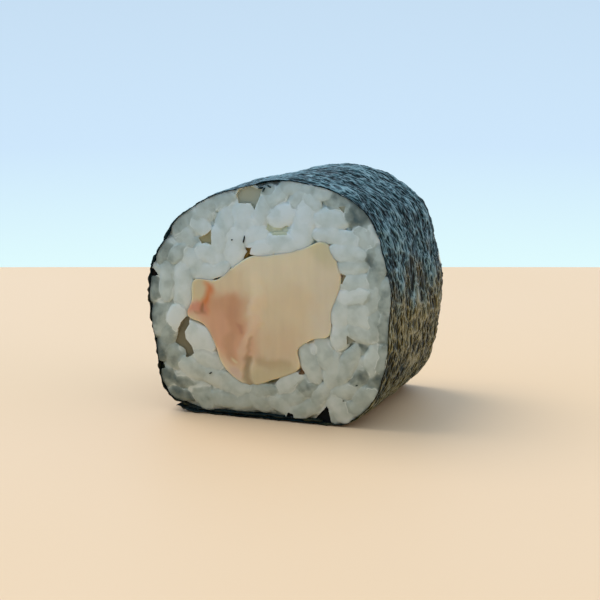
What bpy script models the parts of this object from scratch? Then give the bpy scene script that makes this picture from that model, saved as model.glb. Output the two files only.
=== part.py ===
"""Butterfish maki roll: one cut piece of a rolled sushi, lying on the flattened side of its seaweed wrap.

X runs across the cut faces, Y along the roll and Z up. The origin is at the middle of the underside, and the
front cut face looks towards -Y. A sheet of nori is wound once round the rice with its free end underneath,
and a strip of butterfish runs through the rice from one cut face to the other.
"""

import math

import bmesh
import bpy
import numpy as np
from mathutils import Matrix, Vector

MM = 0.001

# Driving dimensions
ROLL_LENGTH = 30.0 * MM  # between the two knife cuts
ROLL_HEIGHT = 38.0 * MM  # at the front cut
NORI_THICKNESS = 0.3 * MM  # a moist sheet
LAYER_GAP = 0.15 * MM  # between the two layers where the sheet overlaps itself
CLEARANCE = 0.3 * MM  # between touching pieces
NORI_SETBACK = 0.3 * MM  # the sheet's cut edge behind the outermost grains
TURN_STEPS = 62  # steps along the sheet in one turn
OVERLAP_STEPS = 11  # steps that the sheet runs on past one turn
EASE_STEPS = 2  # steps in which the inner layer comes out to the roll's surface, past the free end
SHEET_ROWS = 6  # steps along the roll
RIPPLE = 0.2 * MM  # how far the sheet wanders in and out over the grains beneath it
RIPPLE_WAVES = (9, 14)  # waves round one turn
RIPPLE_SHARES = (0.6, 0.4)  # how strong each of them is
FLAT_FADE = 3.0 * MM  # height over which the ripple grows from nothing, so that the underside stays flat

BACK_TAPER = 0.013  # share by which the back end is smaller than the front
BACK_SHEAR = 0.35 * MM  # how far the top of the back end leans to the left
BELLY = 0.5 * MM  # how much taller the roll is between its ends

GRAIN_LENGTH = (4.8 * MM, 6.4 * MM)  # cooked short-grain rice
GRAIN_WIDTH = (2.7 * MM, 3.2 * MM)
GRAIN_FLATNESS = 0.8  # thickness over width
GRAIN_SIDES = 6
GRAIN_RINGS = 4
GRAIN_TILT = math.radians(9)  # most tilt out of the cut face
GRAINS_PER_FACE = 80
GRAIN_PRESS = 0.86  # packed grains lie this share of their widths apart
CORE_SETBACK = 1.4 * MM  # the bare core behind the knife's plane
GRAIN_SETBACK = 0.6 * MM  # most that a grain's outermost point lies behind the knife's plane
GRAIN_STRAY = 0.7  # spread of the grains' turn about the direction of the wall, in radians
BEADS = np.array([-1.0, 0.0, 1.0])  # places of the round beads that stand for a grain while it is packed
THROWS = 120  # places tried for each new grain
PACK_STEPS = 160
LEAST_APART = 0.01 * MM
PUSH_APART = 0.35  # how hard two grains, a gap and a wall push, as shares of the overlap
PUSH_OFF_GAP = 0.5
PUSH_OFF_WALL = 0.7
FIT_MOVES = 24  # moves that a grain may take to get clear of the sheet and the fish
FIT_WHOLE_MOVES = 8  # moves before it begins to shrink
FIT_SHRINK = (0.96, 0.985)  # what each further move leaves of its length and width
FRONT_SEED = 11
BACK_SEED = 29

FISH_SETBACK = 0.3 * MM  # the fish's end faces behind the knife's plane
FISH_POINTS = 46
FISH_ROWS = 6
FISH_BACK_SCALE = 0.95  # the strip's section at the back, against the front
FISH_BACK_TURN = math.radians(7)
FISH_EDGE = 0.5 * MM  # rounding of the fish's cut edges
FISH_FACE_SHARES = (0.6, 0.94)  # rings of an end face, as shares of the full section
GROOVE_RADIUS = 0.7 * MM
GROOVE_DEPTH = 0.35 * MM

# The wrap's outer outline at the front cut, in mm (X, Z): from the sheet's inner edge under the roll,
# left along the underside, up the left side, over the top and down the right side.
WRAP_STATIONS = (
    (9.0, 0.0), (0.0, 0.0), (-9.0, 0.0), (-13.2, 0.6), (-17.1, 3.4), (-19.1, 11.0), (-20.0, 18.6),
    (-18.9, 25.0), (-15.4, 30.6), (-9.6, 34.9), (-2.0, 37.2), (5.2, 38.0), (11.6, 36.3), (16.6, 32.8),
    (19.3, 25.6), (20.0, 18.0), (19.2, 9.6), (17.2, 4.0), (13.4, 0.5),
)

# The fish's outline at the front cut, in mm, the same way round.
FISH_STATIONS = (
    (-3.2, 5.4), (-7.0, 7.9), (-8.6, 11.5), (-10.4, 14.5), (-13.2, 15.8), (-12.5, 18.2), (-12.1, 21.4),
    (-8.4, 21.6), (-5.9, 23.5), (-2.6, 25.6), (0.7, 26.0), (5.7, 27.2), (9.2, 28.5), (10.8, 26.6),
    (12.0, 22.6), (10.5, 18.0), (10.2, 14.3), (7.6, 13.5), (5.0, 11.6), (5.2, 8.6), (1.0, 6.6),
)
FISH_CENTRE = (0.0, 17.0)

# Creases in the fish's cut face, in mm: the sheet of white tissue between two muscles, and a short split.
FISH_CREASES = (
    ((-1.4, 21.0), (-1.9, 15.5), (-3.2, 12.0), (-4.1, 9.0), (-3.3, 4.0)),
    ((-14.5, 15.0), (-11.8, 16.3), (-9.8, 17.9)),
)

# Grains that can be told apart on the front cut face: X, Z, length and width in mm, and the turn in degrees
# from lying level.
FRONT_GRAINS = (
    (-16.0, 9.2, 5.5, 3.2, -45), (-11.8, 12.0, 5.0, 3.2, -25), (-10.2, 9.1, 5.5, 3.0, -25),
    (7.0, 9.6, 6.6, 2.8, -68), (13.1, 9.7, 7.0, 2.7, 62), (9.8, 11.4, 5.0, 2.8, -60),
    (-3.8, 31.6, 5.4, 3.0, -75), (3.4, 32.6, 4.8, 3.6, 8), (-1.9, 28.9, 4.6, 3.0, 10),
    (3.8, 28.3, 6.4, 2.8, 10), (11.0, 34.9, 5.0, 2.8, -25), (10.6, 32.0, 5.2, 3.2, 0),
    (-15.0, 20.6, 7.0, 3.6, 86), (-15.6, 15.6, 4.5, 3.0, 70), (-18.0, 15.6, 6.0, 2.6, 88),
    (-9.4, 25.4, 5.4, 3.0, -18), (6.2, 2.6, 6.4, 2.8, 20), (12.0, 3.6, 4.8, 2.8, -60),
    (15.2, 20.4, 5.2, 3.0, 12), (14.8, 15.6, 5.2, 3.0, -14), (17.4, 11.4, 5.2, 2.6, 82),
)

# Gaps between grains on the front cut face: X, Z and radius in mm.
FRONT_GAPS = (
    (-2.8, 34.8, 1.3), (-10.2, 28.4, 1.1), (1.6, 30.3, 0.9), (-3.2, 25.9, 0.8), (-14.6, 13.0, 0.6),
    (-13.3, 9.8, 0.7), (13.2, 13.6, 0.5), (9.5, 1.9, 1.0), (-18.3, 22.6, 0.4), (-17.2, 7.2, 0.4),
)

# Colours, as linear red, green and blue
NORI_COLOUR = (0.016, 0.030, 0.032)
RICE_COLOUR = (0.55, 0.60, 0.56)
FISH_COLOUR = (0.66, 0.47, 0.29)


def clear_scene():
    for thing in list(bpy.data.objects):
        bpy.data.objects.remove(thing, do_unlink=True)


def new_collection(name):
    collection = bpy.data.collections.new(name)
    bpy.context.scene.collection.children.link(collection)
    return collection


def new_material(name, colour, roughness):
    material = bpy.data.materials.new(name)
    material.use_nodes = True
    shader = material.node_tree.nodes["Principled BSDF"]
    shader.inputs["Base Color"].default_value = (*colour, 1.0)
    shader.inputs["Roughness"].default_value = roughness
    shader.inputs["Metallic"].default_value = 0.0
    return material


def new_object(name, bm, collection, material=None):
    mesh = bpy.data.meshes.new(name)
    bm.to_mesh(mesh)
    bm.free()
    made = bpy.data.objects.new(name, mesh)
    if material:
        mesh.materials.append(material)
    collection.objects.link(made)
    return made


def closed_curve(stations, count):
    """Evenly spaced points, in metres, on a smooth closed curve through the stations, which are in mm."""
    knots = np.array(stations) * MM
    before, after, beyond = (np.roll(knots, shift, axis=0) for shift in (1, -1, -2))
    fine = []
    for t in np.linspace(0.0, 1.0, 24, endpoint=False):
        fine.append(
            knots
            + 0.5 * t * (after - before)
            + 0.5 * t**2 * (2.0 * before - 5.0 * knots + 4.0 * after - beyond)
            + 0.5 * t**3 * (3.0 * knots - before - 3.0 * after + beyond)
        )
    path = np.stack(fine, axis=1).reshape(-1, 2)
    path = np.vstack([path, path[:1]])
    run = np.concatenate([[0.0], np.cumsum(np.hypot(*np.diff(path, axis=0).T))])
    even = np.linspace(0.0, run[-1], count, endpoint=False)
    points = np.stack([np.interp(even, run, path[:, axis]) for axis in (0, 1)], axis=1)
    points[:, 1] = np.maximum(points[:, 1], 0.0)
    return points


def inward(points):
    """Unit vectors that point into a closed outline which runs clockwise."""
    along = np.roll(points, -1, axis=0) - np.roll(points, 1, axis=0)
    along /= np.hypot(*along.T)[:, None]
    return np.stack([along[:, 1], -along[:, 0]], axis=1)


def smooth_step(share):
    share = np.clip(share, 0.0, 1.0)
    return share * share * (3.0 - 2.0 * share)


def ripple(step, y, z):
    """How far the sheet lies inside its mean outline, at a step round the roll."""
    turn = 2.0 * math.pi * step / TURN_STEPS
    along = 2.0 * math.pi * y / ROLL_LENGTH
    wander = 1.0
    for waves, share, slant in zip(RIPPLE_WAVES, RIPPLE_SHARES, (0.9, -1.0)):
        wander += share * math.sin(waves * (turn + 0.1) + slant * along)
    return RIPPLE * wander * smooth_step(z / FLAT_FADE)


def settled(x, y, z):
    """The slight taper, lean and swelling of the soft roll, which leave its underside flat."""
    back = 0.5 + y / ROLL_LENGTH
    up = z / ROLL_HEIGHT
    swell = BELLY / ROLL_HEIGHT * math.cos(math.pi * y / ROLL_LENGTH) * smooth_step(2.0 * up)
    size = 1.0 - BACK_TAPER * back + swell
    return Vector((x * size - BACK_SHEAR * back * up, y, z * size))


def sheet_inset(step):
    """The inner layer lies under the outer one up to the free end, and then comes out to the surface."""
    return (NORI_THICKNESS + LAYER_GAP) * float(1.0 - smooth_step((step - OVERLAP_STEPS) / EASE_STEPS))


def wrap_point(step, y, inset):
    """A point at a step round the roll, at a depth under its outer surface, before the roll settles."""
    place, into = WRAP_OUTLINE[step % TURN_STEPS], WRAP_INWARD[step % TURN_STEPS]
    x, z = place + into * (inset + ripple(step, y, place[1]))
    return x, y, z


def make_nori(collection):
    """The sheet starts flat, is wound round the roll by its steps, and gets its thickness inwards."""
    steps = TURN_STEPS + OVERLAP_STEPS
    half = ROLL_LENGTH / 2 - NORI_SETBACK
    bm = bmesh.new()
    bmesh.ops.create_grid(bm, x_segments=steps, y_segments=SHEET_ROWS, size=0.5)
    for vert in bm.verts:
        step = round((vert.co.x + 0.5) * steps)
        vert.co = settled(*wrap_point(step, 2.0 * half * vert.co.y, sheet_inset(step)))
    bmesh.ops.triangulate(bm, faces=bm.faces)
    nori = new_object("nori_wrap", bm, collection, new_material("nori", NORI_COLOUR, 0.45))
    wall = nori.modifiers.new("Thickness", "SOLIDIFY")
    wall.thickness = NORI_THICKNESS
    wall.offset = -1.0
    nori.data.shade_smooth()
    nori.data.set_sharp_from_angle(angle=math.radians(50))
    return nori


def fish_section(y, grow):
    """The strip's outline at a place along the roll, grown by a clearance, before the roll settles."""
    back = 0.5 + y / ROLL_LENGTH
    turn = FISH_BACK_TURN * back
    scale = 1.0 + (FISH_BACK_SCALE - 1.0) * back
    centre = np.array(FISH_CENTRE) * MM
    x, z = ((FISH_OUTLINE - FISH_INWARD * grow - centre) * scale).T
    cos, sin = math.cos(turn), math.sin(turn)
    return np.stack([x * cos - z * sin, x * sin + z * cos], axis=1) + centre


def tube(bm, rings):
    """An open tube of quads through rings with equal counts of points. It returns the rings' vertices."""
    rows = [[bm.verts.new(point) for point in ring] for ring in rings]
    for near, far in zip(rows, rows[1:]):
        for i, vert in enumerate(near):
            follow = (i + 1) % len(near)
            bm.faces.new((vert, near[follow], far[follow], far[i]))
    return rows


def rim(bm, row):
    return [bm.edges.get((vert, row[(i + 1) % len(row)])) for i, vert in enumerate(row)]


def fish_ring(y, share=1.0):
    centre = np.array(FISH_CENTRE) * MM
    return [settled(x, y, z) for x, z in centre + (fish_section(y, 0.0) - centre) * share]


def make_fish(collection, cutters):
    """The strip, with rounded cut edges and with the creases that its end faces show."""
    half = ROLL_LENGTH / 2 - FISH_SETBACK
    rings = [fish_ring(-half, share) for share in FISH_FACE_SHARES]
    rings += [fish_ring(y) for y in np.linspace(-half + FISH_EDGE, half - FISH_EDGE, FISH_ROWS + 1)]
    rings += [fish_ring(half, share) for share in reversed(FISH_FACE_SHARES)]
    bm = bmesh.new()
    rows = tube(bm, rings)
    for row in (rows[0], rows[-1]):
        bmesh.ops.contextual_create(bm, geom=row)
    bmesh.ops.recalc_face_normals(bm, faces=bm.faces)
    fish = new_object("butterfish_strip", bm, collection, new_material("butterfish", FISH_COLOUR, 0.35))
    for side in (-1, 1):
        for number, crease in enumerate(FISH_CREASES):
            cutter = make_groove(f"crease_{number}_{side}", crease, side * half, cutters)
            cut = fish.modifiers.new("Crease", "BOOLEAN")
            cut.operation = "DIFFERENCE"
            cut.object = cutter
    fish.data.shade_smooth()
    fish.data.set_sharp_from_angle(angle=math.radians(40))
    return fish


def make_groove(name, crease, face_y, cutters):
    """A bent round bar that sinks a shallow groove into an end face, along the crease."""
    back = 0.5 + face_y / ROLL_LENGTH
    centre = Vector(FISH_CENTRE) * MM
    turn = Matrix.Rotation(FISH_BACK_TURN * back, 2)
    scale = 1.0 + (FISH_BACK_SCALE - 1.0) * back
    outwards = math.copysign(GROOVE_RADIUS - GROOVE_DEPTH, face_y)
    curve = bpy.data.curves.new(name, "CURVE")
    curve.dimensions = "3D"
    curve.bevel_depth = GROOVE_RADIUS
    curve.bevel_resolution = 1
    curve.use_fill_caps = True
    spline = curve.splines.new("POLY")
    spline.points.add(len(crease) - 1)
    for point, place in zip(spline.points, crease):
        x, z = turn @ ((Vector(place) * MM - centre) * scale) + centre
        point.co = (*(settled(x, face_y, z) + Vector((0.0, outwards, 0.0))), 1.0)
    bar = bpy.data.objects.new(name, curve)
    cutters.objects.link(bar)
    return meshed_cutter(bar, cutters)


def meshed_cutter(bar, cutters):
    name = bar.name
    graph = bpy.context.evaluated_depsgraph_get()
    mesh = bpy.data.meshes.new_from_object(bar.evaluated_get(graph))
    bpy.data.objects.remove(bar, do_unlink=True)
    bm = bmesh.new()
    bm.from_mesh(mesh)
    bmesh.ops.remove_doubles(bm, verts=bm.verts, dist=0.001 * MM)
    bmesh.ops.recalc_face_normals(bm, faces=bm.faces)
    cutter = new_object(name, bm, cutters)
    cutter.hide_render = True
    cutter.display_type = "WIRE"
    return cutter


def rice_inset(step):
    """The rice's depth under the roll's outer surface: inside the innermost layer of the sheet."""
    return sheet_inset(step) + NORI_THICKNESS + CLEARANCE


def rice_outline(y):
    return np.array([wrap_point(step, y, rice_inset(step))[::2] for step in range(TURN_STEPS)])


def make_rice_core(collection):
    """The packed rice between the sheet and the fish: two rings of walls, closed by flat ends."""
    half = ROLL_LENGTH / 2 - CORE_SETBACK
    rows = np.linspace(-half, half, SHEET_ROWS + 1)
    bm = bmesh.new()
    outside = tube(bm, [[(x, y, z) for x, z in rice_outline(y)] for y in rows])
    tunnel = tube(bm, [[(x, y, z) for x, z in fish_section(y, CLEARANCE)] for y in rows])
    for end in (0, -1):
        bmesh.ops.triangle_fill(bm, use_beauty=True, edges=rim(bm, outside[end]) + rim(bm, tunnel[end]))
    bmesh.ops.recalc_face_normals(bm, faces=bm.faces)
    return new_object("rice_packing", bm, collection, new_material("cooked_rice", RICE_COLOUR, 0.4))


def depth_inside(points, outline, normals):
    """For each point, how far it is inside the outline and the inward direction of the nearest station."""
    apart = points[:, None, :] - outline[None, :, :]
    nearest = np.argmin((apart**2).sum(axis=2), axis=1)
    picked = np.arange(len(points))
    return (apart[picked, nearest] * normals[nearest]).sum(axis=1), normals[nearest]


def pack_grains(rng, fixed, gaps, wall, hole):
    """Rows of X, Z, length, width and turn: the fixed grains first, then grains thrown one by one into
    the emptiest places. The thrown ones are then pushed off all grains, the gaps and both outlines."""
    grains = np.array(fixed).reshape(-1, 5) * [MM, MM, MM, MM, math.radians(1)]
    blocks = np.array(gaps).reshape(-1, 3) * MM
    held = np.arange(GRAINS_PER_FACE) < len(grains)
    while len(grains) < GRAINS_PER_FACE:
        thrown = rng.uniform(wall[0].min(axis=0), wall[0].max(axis=0), (THROWS, 2))
        inside, into = depth_inside(thrown, *wall)
        clear = np.minimum(inside, -depth_inside(thrown, *hole)[0])
        taken = np.vstack([beads_of(grains)[0], blocks[:, :2]])
        between = thrown[:, None, :] - taken[None, :, :]
        apart = np.sqrt((between**2).sum(axis=2)).min(axis=1, initial=GRAIN_LENGTH[1])
        best = np.argmax(np.minimum(clear, apart / 2.0))
        turn = math.atan2(-into[best, 0], into[best, 1]) + rng.normal(0.0, GRAIN_STRAY)
        row = [*thrown[best], rng.uniform(*GRAIN_LENGTH), rng.uniform(*GRAIN_WIDTH), turn]
        grains = np.vstack([grains, row])
    for _ in range(PACK_STEPS):
        loosen(grains, held, blocks, wall, hole)
    return grains


def beads_of(grains):
    """Each grain as three round beads in a row: the beads' places, the reach of the row and its direction."""
    reach = (grains[:, 2] - grains[:, 3]) / 2
    along = np.stack([np.cos(grains[:, 4]), np.sin(grains[:, 4])], axis=1)
    offsets = BEADS[None, :, None] * (reach[:, None] * along)[:, None, :]
    return (grains[:, None, :2] + offsets).reshape(-1, 2), reach, along


def loosen(grains, held, blocks, wall, hole):
    """One step of pushing."""
    beads, reach, along = beads_of(grains)
    owner = np.repeat(np.arange(len(grains)), 3)
    radius = np.repeat(grains[:, 3] / 2, 3) * GRAIN_PRESS
    apart = beads[:, None, :] - beads[None, :, :]
    far = np.maximum(np.sqrt((apart**2).sum(axis=2)), LEAST_APART)
    squeeze = np.maximum(radius[:, None] + radius[None, :] - far, 0.0)
    squeeze[owner[:, None] == owner[None, :]] = 0.0
    push = (apart / far[..., None] * squeeze[..., None]).sum(axis=1) * PUSH_APART
    for x, z, size in blocks:
        away = beads - (x, z)
        near = np.maximum(np.sqrt((away**2).sum(axis=1)), LEAST_APART)
        push += away / near[:, None] * np.maximum(radius + size - near, 0.0)[:, None] * PUSH_OFF_GAP
    for (outline, normals), side in ((wall, 1.0), (hole, -1.0)):
        depth, direction = depth_inside(beads, outline, normals)
        short = np.maximum(radius / GRAIN_PRESS - side * depth, 0.0)
        push += side * direction * short[:, None] * PUSH_OFF_WALL
    shove = push.reshape(-1, 3, 2)
    lever = (BEADS[None, :, None] * shove).sum(axis=1)
    swing = (lever[:, 1] * along[:, 0] - lever[:, 0] * along[:, 1]) / (2.0 * np.maximum(reach, 1.0 * MM))
    grains[~held, :2] += shove[~held].mean(axis=1)
    grains[~held, 4] += swing[~held]


def make_grain(name, row, side, rng, collection):
    """One plump grain, its outermost point just behind the knife's plane."""
    x, z, length, width, turn = row
    bm = bmesh.new()
    bmesh.ops.create_uvsphere(bm, u_segments=GRAIN_SIDES, v_segments=GRAIN_RINGS, radius=0.5)
    size = Matrix.Diagonal((width, width * GRAIN_FLATNESS, length, 1.0))
    spin = Matrix.Rotation(rng.uniform(0.0, math.pi), 4, "Z")
    lie = Matrix.Rotation(math.radians(90) - turn, 4, "Y")
    tilt = Matrix.Rotation(rng.uniform(-GRAIN_TILT, GRAIN_TILT), 4, "X")
    bm.transform(lie @ tilt @ size @ spin)
    outermost = max(side * vert.co.y for vert in bm.verts)
    y = side * (ROLL_LENGTH / 2 - rng.uniform(0.0, GRAIN_SETBACK) - outermost)
    bm.transform(Matrix.Translation((x, y, z)))
    return new_object(name, bm, collection)


def grain_rim(row):
    """Points round a grain's outline."""
    x, z, length, width, turn = row
    angles = np.linspace(0.0, 2.0 * math.pi, 16, endpoint=False)
    along, across = np.cos(angles) * length / 2, np.sin(angles) * width / 2
    cos, sin = math.cos(turn), math.sin(turn)
    return np.stack([x + along * cos - across * sin, z + along * sin + across * cos], axis=1)


def fitted(row, wall, hole):
    """The grain, moved and then shortened until it is clear of the sheet and the fish, or nothing."""
    for attempt in range(FIT_MOVES):
        rim_points = grain_rim(row)
        inside, into = depth_inside(rim_points, *wall)
        sunk, out_of = depth_inside(rim_points, *hole)
        tight, deep = np.argmin(inside), np.argmax(sunk)
        if inside[tight] >= 0.0 and sunk[deep] <= 0.0:
            return row
        row = row.copy()
        row[:2] += into[tight] * max(-inside[tight], 0.0) - out_of[deep] * max(sunk[deep], 0.0)
        if attempt >= FIT_WHOLE_MOVES:
            row[2:4] *= FIT_SHRINK
    return None


def make_rice(collection):
    """The core with the grains of both cut faces fused on, as one body."""
    rice = make_rice_core(collection)
    grains = new_collection("grains")
    half = ROLL_LENGTH / 2
    for side, seed, fixed, gaps in ((-1, FRONT_SEED, FRONT_GRAINS, FRONT_GAPS), (1, BACK_SEED, (), ())):
        wall, hole = rice_outline(side * half), fish_section(side * half, CLEARANCE)
        wall, hole = (wall, inward(wall)), (hole, inward(hole))
        rng = np.random.default_rng(seed)
        for number, row in enumerate(pack_grains(rng, fixed, gaps, wall, hole)):
            row = fitted(row, wall, hole)
            if row is not None:
                make_grain(f"grain_{side}_{number}", row, side, rng, grains)
    union = rice.modifiers.new("Grains", "BOOLEAN")
    union.operation = "UNION"
    union.operand_type = "COLLECTION"
    union.collection = grains
    graph = bpy.context.evaluated_depsgraph_get()
    fused = bpy.data.meshes.new_from_object(rice.evaluated_get(graph))
    rice.modifiers.clear()
    rice.data = fused
    for grain in list(grains.objects):
        bpy.data.objects.remove(grain, do_unlink=True)
    bpy.data.collections.remove(grains)
    keep_main_body(rice.data)
    for vert in rice.data.vertices:
        vert.co = settled(*vert.co)
    rice.data.shade_smooth()
    rice.data.set_sharp_from_angle(angle=math.radians(35))
    return rice


def keep_main_body(mesh):
    """Drops loose scraps and the walls of hollows that the fusing sealed."""
    bm = bmesh.new()
    bm.from_mesh(mesh)
    bm.verts.ensure_lookup_table()
    waiting = set(bm.verts)
    bodies = []
    while waiting:
        body, edge = set(), [waiting.pop()]
        while edge:
            vert = edge.pop()
            body.add(vert)
            beside = {link.other_vert(vert) for link in vert.link_edges} & waiting
            waiting -= beside
            edge.extend(beside)
        bodies.append(body)
    bodies.sort(key=len)
    for body in bodies[:-1]:
        bmesh.ops.delete(bm, geom=list(body), context="VERTS")
    bm.to_mesh(mesh)
    bm.free()


WRAP_OUTLINE = closed_curve(WRAP_STATIONS, TURN_STEPS)
WRAP_INWARD = inward(WRAP_OUTLINE)
FISH_OUTLINE = closed_curve(FISH_STATIONS, FISH_POINTS)
FISH_INWARD = inward(FISH_OUTLINE)


def main():
    clear_scene()
    roll = new_collection("butterfish_maki_roll")
    cutters = new_collection("cutters")
    make_nori(roll)
    make_rice(roll)
    make_fish(roll, cutters)


main()
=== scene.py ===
"""The look of one butterfish maki roll: a cut piece that lies on its flattened side.

X runs across the cut faces, Y along the roll and Z up, in metres, and the front cut faces -Y. The nori, the
rice and the strip of fish each stand in for their plain solid, and follow the same outlines. A few scraps of
nori on the front cut are a piece of their own.
"""

import math

import bmesh
import bpy
import numpy as np
from mathutils import Matrix, Vector
from mathutils.kdtree import KDTree


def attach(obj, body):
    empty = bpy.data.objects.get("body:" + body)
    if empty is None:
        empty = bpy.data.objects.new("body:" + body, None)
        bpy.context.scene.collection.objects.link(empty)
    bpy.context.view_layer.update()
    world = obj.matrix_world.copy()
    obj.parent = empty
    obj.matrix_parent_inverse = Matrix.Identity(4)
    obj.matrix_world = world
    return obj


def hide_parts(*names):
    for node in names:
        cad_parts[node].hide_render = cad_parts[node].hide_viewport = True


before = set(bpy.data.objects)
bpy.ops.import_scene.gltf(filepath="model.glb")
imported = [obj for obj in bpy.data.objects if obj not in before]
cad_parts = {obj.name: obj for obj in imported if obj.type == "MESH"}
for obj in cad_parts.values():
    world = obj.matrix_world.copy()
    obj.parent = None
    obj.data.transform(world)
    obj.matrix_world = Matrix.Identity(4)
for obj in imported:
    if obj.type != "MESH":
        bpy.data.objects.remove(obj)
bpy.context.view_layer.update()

MM = 0.001

# Camera
LENS = 90.0
SENSOR_WIDTH = 36.0
CLIP_FROM = 0.01
CLIP_TO = 20.0
CAMERA_PLACE = (0.0831, -0.2265, 0.06225)
CAMERA_TURN = math.radians(20.12)
CAMERA_PITCH = math.radians(10.75)

# Floor and light
FLOOR_REACH = 0.131  # from the roll to the edge of the table top
FLOOR_CORNERS = 8.0  # the power of the superellipse that rounds its corners
FLOOR_POINTS = 160
FLOOR_DRIFT = 111.111 * MM  # the size of its slightly paler patches
SUN_FROM = (-0.5, 0.12, 0.8)
SUN_STRENGTH = 1.78
SUN_WIDTH = math.radians(40)
BRIGHT_SIDE = (-0.2, 0.75, 0.63)  # the way to the brightest part of the studio
DIMMEST = 0.55  # strength of its light on the far side from there
BRIGHTEST = 1.4
WARM_SIDE = (0.85, -0.1, -0.5)  # the way to the part that throws warm light up at the roll
WARM_EXTRA = 0.5  # how much stronger the light from there is

# The roll, as in its solids
ROLL_LENGTH = 30.0 * MM
ROLL_HEIGHT = 38.0 * MM
ROLL_WIDTH = 40.0 * MM
NORI_THICKNESS = 0.3 * MM
LAYER_GAP = 0.15 * MM  # between the two layers of the sheet, where it overlaps itself
CLEARANCE = 0.3 * MM  # between the fish and the grains that are thrown
CURVE_FINENESS = 24  # points from one station of an outline to the next, before they are spaced evenly
TURN_STEPS = 62  # steps once round the roll
OVERLAP_STEPS = 11
EASE_STEPS = 2  # steps over which the inner layer comes out to the surface
RIPPLE = 0.2 * MM
RIPPLE_WAVES = (9, 14)  # waves once round the roll
RIPPLE_SHARES = (0.6, 0.4)
RIPPLE_SLANTS = (0.9, -1.0)  # how far they run askew from one cut to the other, in wave lengths
RIPPLE_START = 0.1  # where round the roll they begin, in radians
FLAT_FADE = 3.0 * MM  # the height over which the flat underside gives way to the ripples

# How the soft roll has settled, a little otherwise than in the solids
BELLY = 0.1 * MM  # how much fuller it is half way between the cuts
BACK_TAPER = 0.007
BACK_SHIFT = 0.3 * MM
SHOULDER_DROP = 0.02  # share by which the back's right shoulder has sunk in
SHOULDER_FROM = 1.4  # where it begins, as the sum of the shares of the half width and of the height
SHOULDER_OVER = 0.3

# The grains and how they are packed, as in the solids
GRAIN_LENGTH = (4.8 * MM, 6.4 * MM)
GRAIN_WIDTH = (2.7 * MM, 3.2 * MM)
GRAIN_FLATNESS = 0.8  # thickness as a share of width
GRAIN_TILT = math.radians(9)
GRAINS_PER_FACE = 80
GRAIN_PRESS = 0.86  # grains may come this near, as a share of where they would just touch
GRAIN_STRAY = 0.7  # how far thrown grains turn from lying along the sheet, in radians
GRAIN_RIM_POINTS = 16
BEADS = np.array([-1.0, 0.0, 1.0])  # each grain is packed as three beads in a row
THROWS = 120  # places that are tried for each grain
PACK_STEPS = 160
LEAST_APART = 0.01 * MM
LEAST_REACH = 1.0 * MM
PUSH_APART = 0.35
PUSH_OFF_WALL = 0.7
FIT_MOVES = 24
FIT_WHOLE_MOVES = 8  # moves before a grain is also shortened
FIT_SHRINK = (0.96, 0.985)
FRONT_SEED = 11
BACK_SEED = 29

# The strip of fish, as in its solid
FISH_BACK_SCALE = 0.95
FISH_BACK_TURN = math.radians(7)
FISH_CENTRE = (0.0, 17.0)

# Stations of the outlines on the front cut, X and Z in mm, as in the solids, apart from two at the lower left
# of the wrap, which lie 0.3 mm further out.
WRAP_STATIONS = (
    (9.0, 0.0), (0.0, 0.0), (-9.0, 0.0), (-13.5, 0.5), (-17.3, 3.2), (-19.1, 11.0), (-20.0, 18.6),
    (-18.9, 25.0), (-15.4, 30.6), (-9.6, 34.9), (-2.0, 37.2), (5.2, 38.0), (11.6, 36.3), (16.6, 32.8),
    (19.3, 25.6), (20.0, 18.0), (19.2, 9.6), (17.2, 4.0), (13.4, 0.5),
)
FISH_STATIONS = (
    (-3.2, 5.4), (-7.0, 7.9), (-8.6, 11.5), (-10.4, 14.5), (-13.2, 15.8), (-12.5, 18.2), (-12.1, 21.4),
    (-8.4, 21.6), (-5.9, 23.5), (-2.6, 25.6), (0.7, 26.0), (5.7, 27.2), (9.2, 28.5), (10.8, 26.6),
    (12.0, 22.6), (10.5, 18.0), (10.2, 14.3), (7.6, 13.5), (5.0, 11.6), (5.2, 8.6), (1.0, 6.6),
)

# The finer surface of the nori
SHEET_WIDER = 1.017  # the ripples lie within the stations, which are on the outermost skin
SHEET_FINENESS = 8  # fine steps along the nori for each step of its solid
SHEET_ROWS_OUTSIDE = 124  # rows along the roll on the nori's outside
SHEET_ROWS_INSIDE = 12
NORI_TRIM = 0.08 * MM  # how far the cut nori lies behind the plane of the cut
EDGE_WANDER = 0.15 * MM  # how unevenly the knife left the nori's edges
EDGE_SMOOTHING = (0.3, 0.4, 0.3)
EDGE_POWER = 8  # the unevenness dies away from the edge by this power
EDGE_THIN = 0.55  # the knife pinched the edges to this share of the sheet
EDGE_CUT = 0.6  # how much of its relief the shader takes off the cut edges and the inside
EDGE_SEED = 17
LUMP_FREE_FROM = 0.25  # share of the half length over which the lumps grow in from a cut
LUMP_AT_CUT = 0.25  # share of their height that the lumps have at a cut
FLAP_REACH = 0.5  # steps by which the torn end reaches past the sheet's straight edge
FLAP_STEPS = 2.5  # steps over which the free end lifts off
FLAP_LIFT = 0.45 * MM
NORI_SHARP = math.radians(75)

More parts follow.
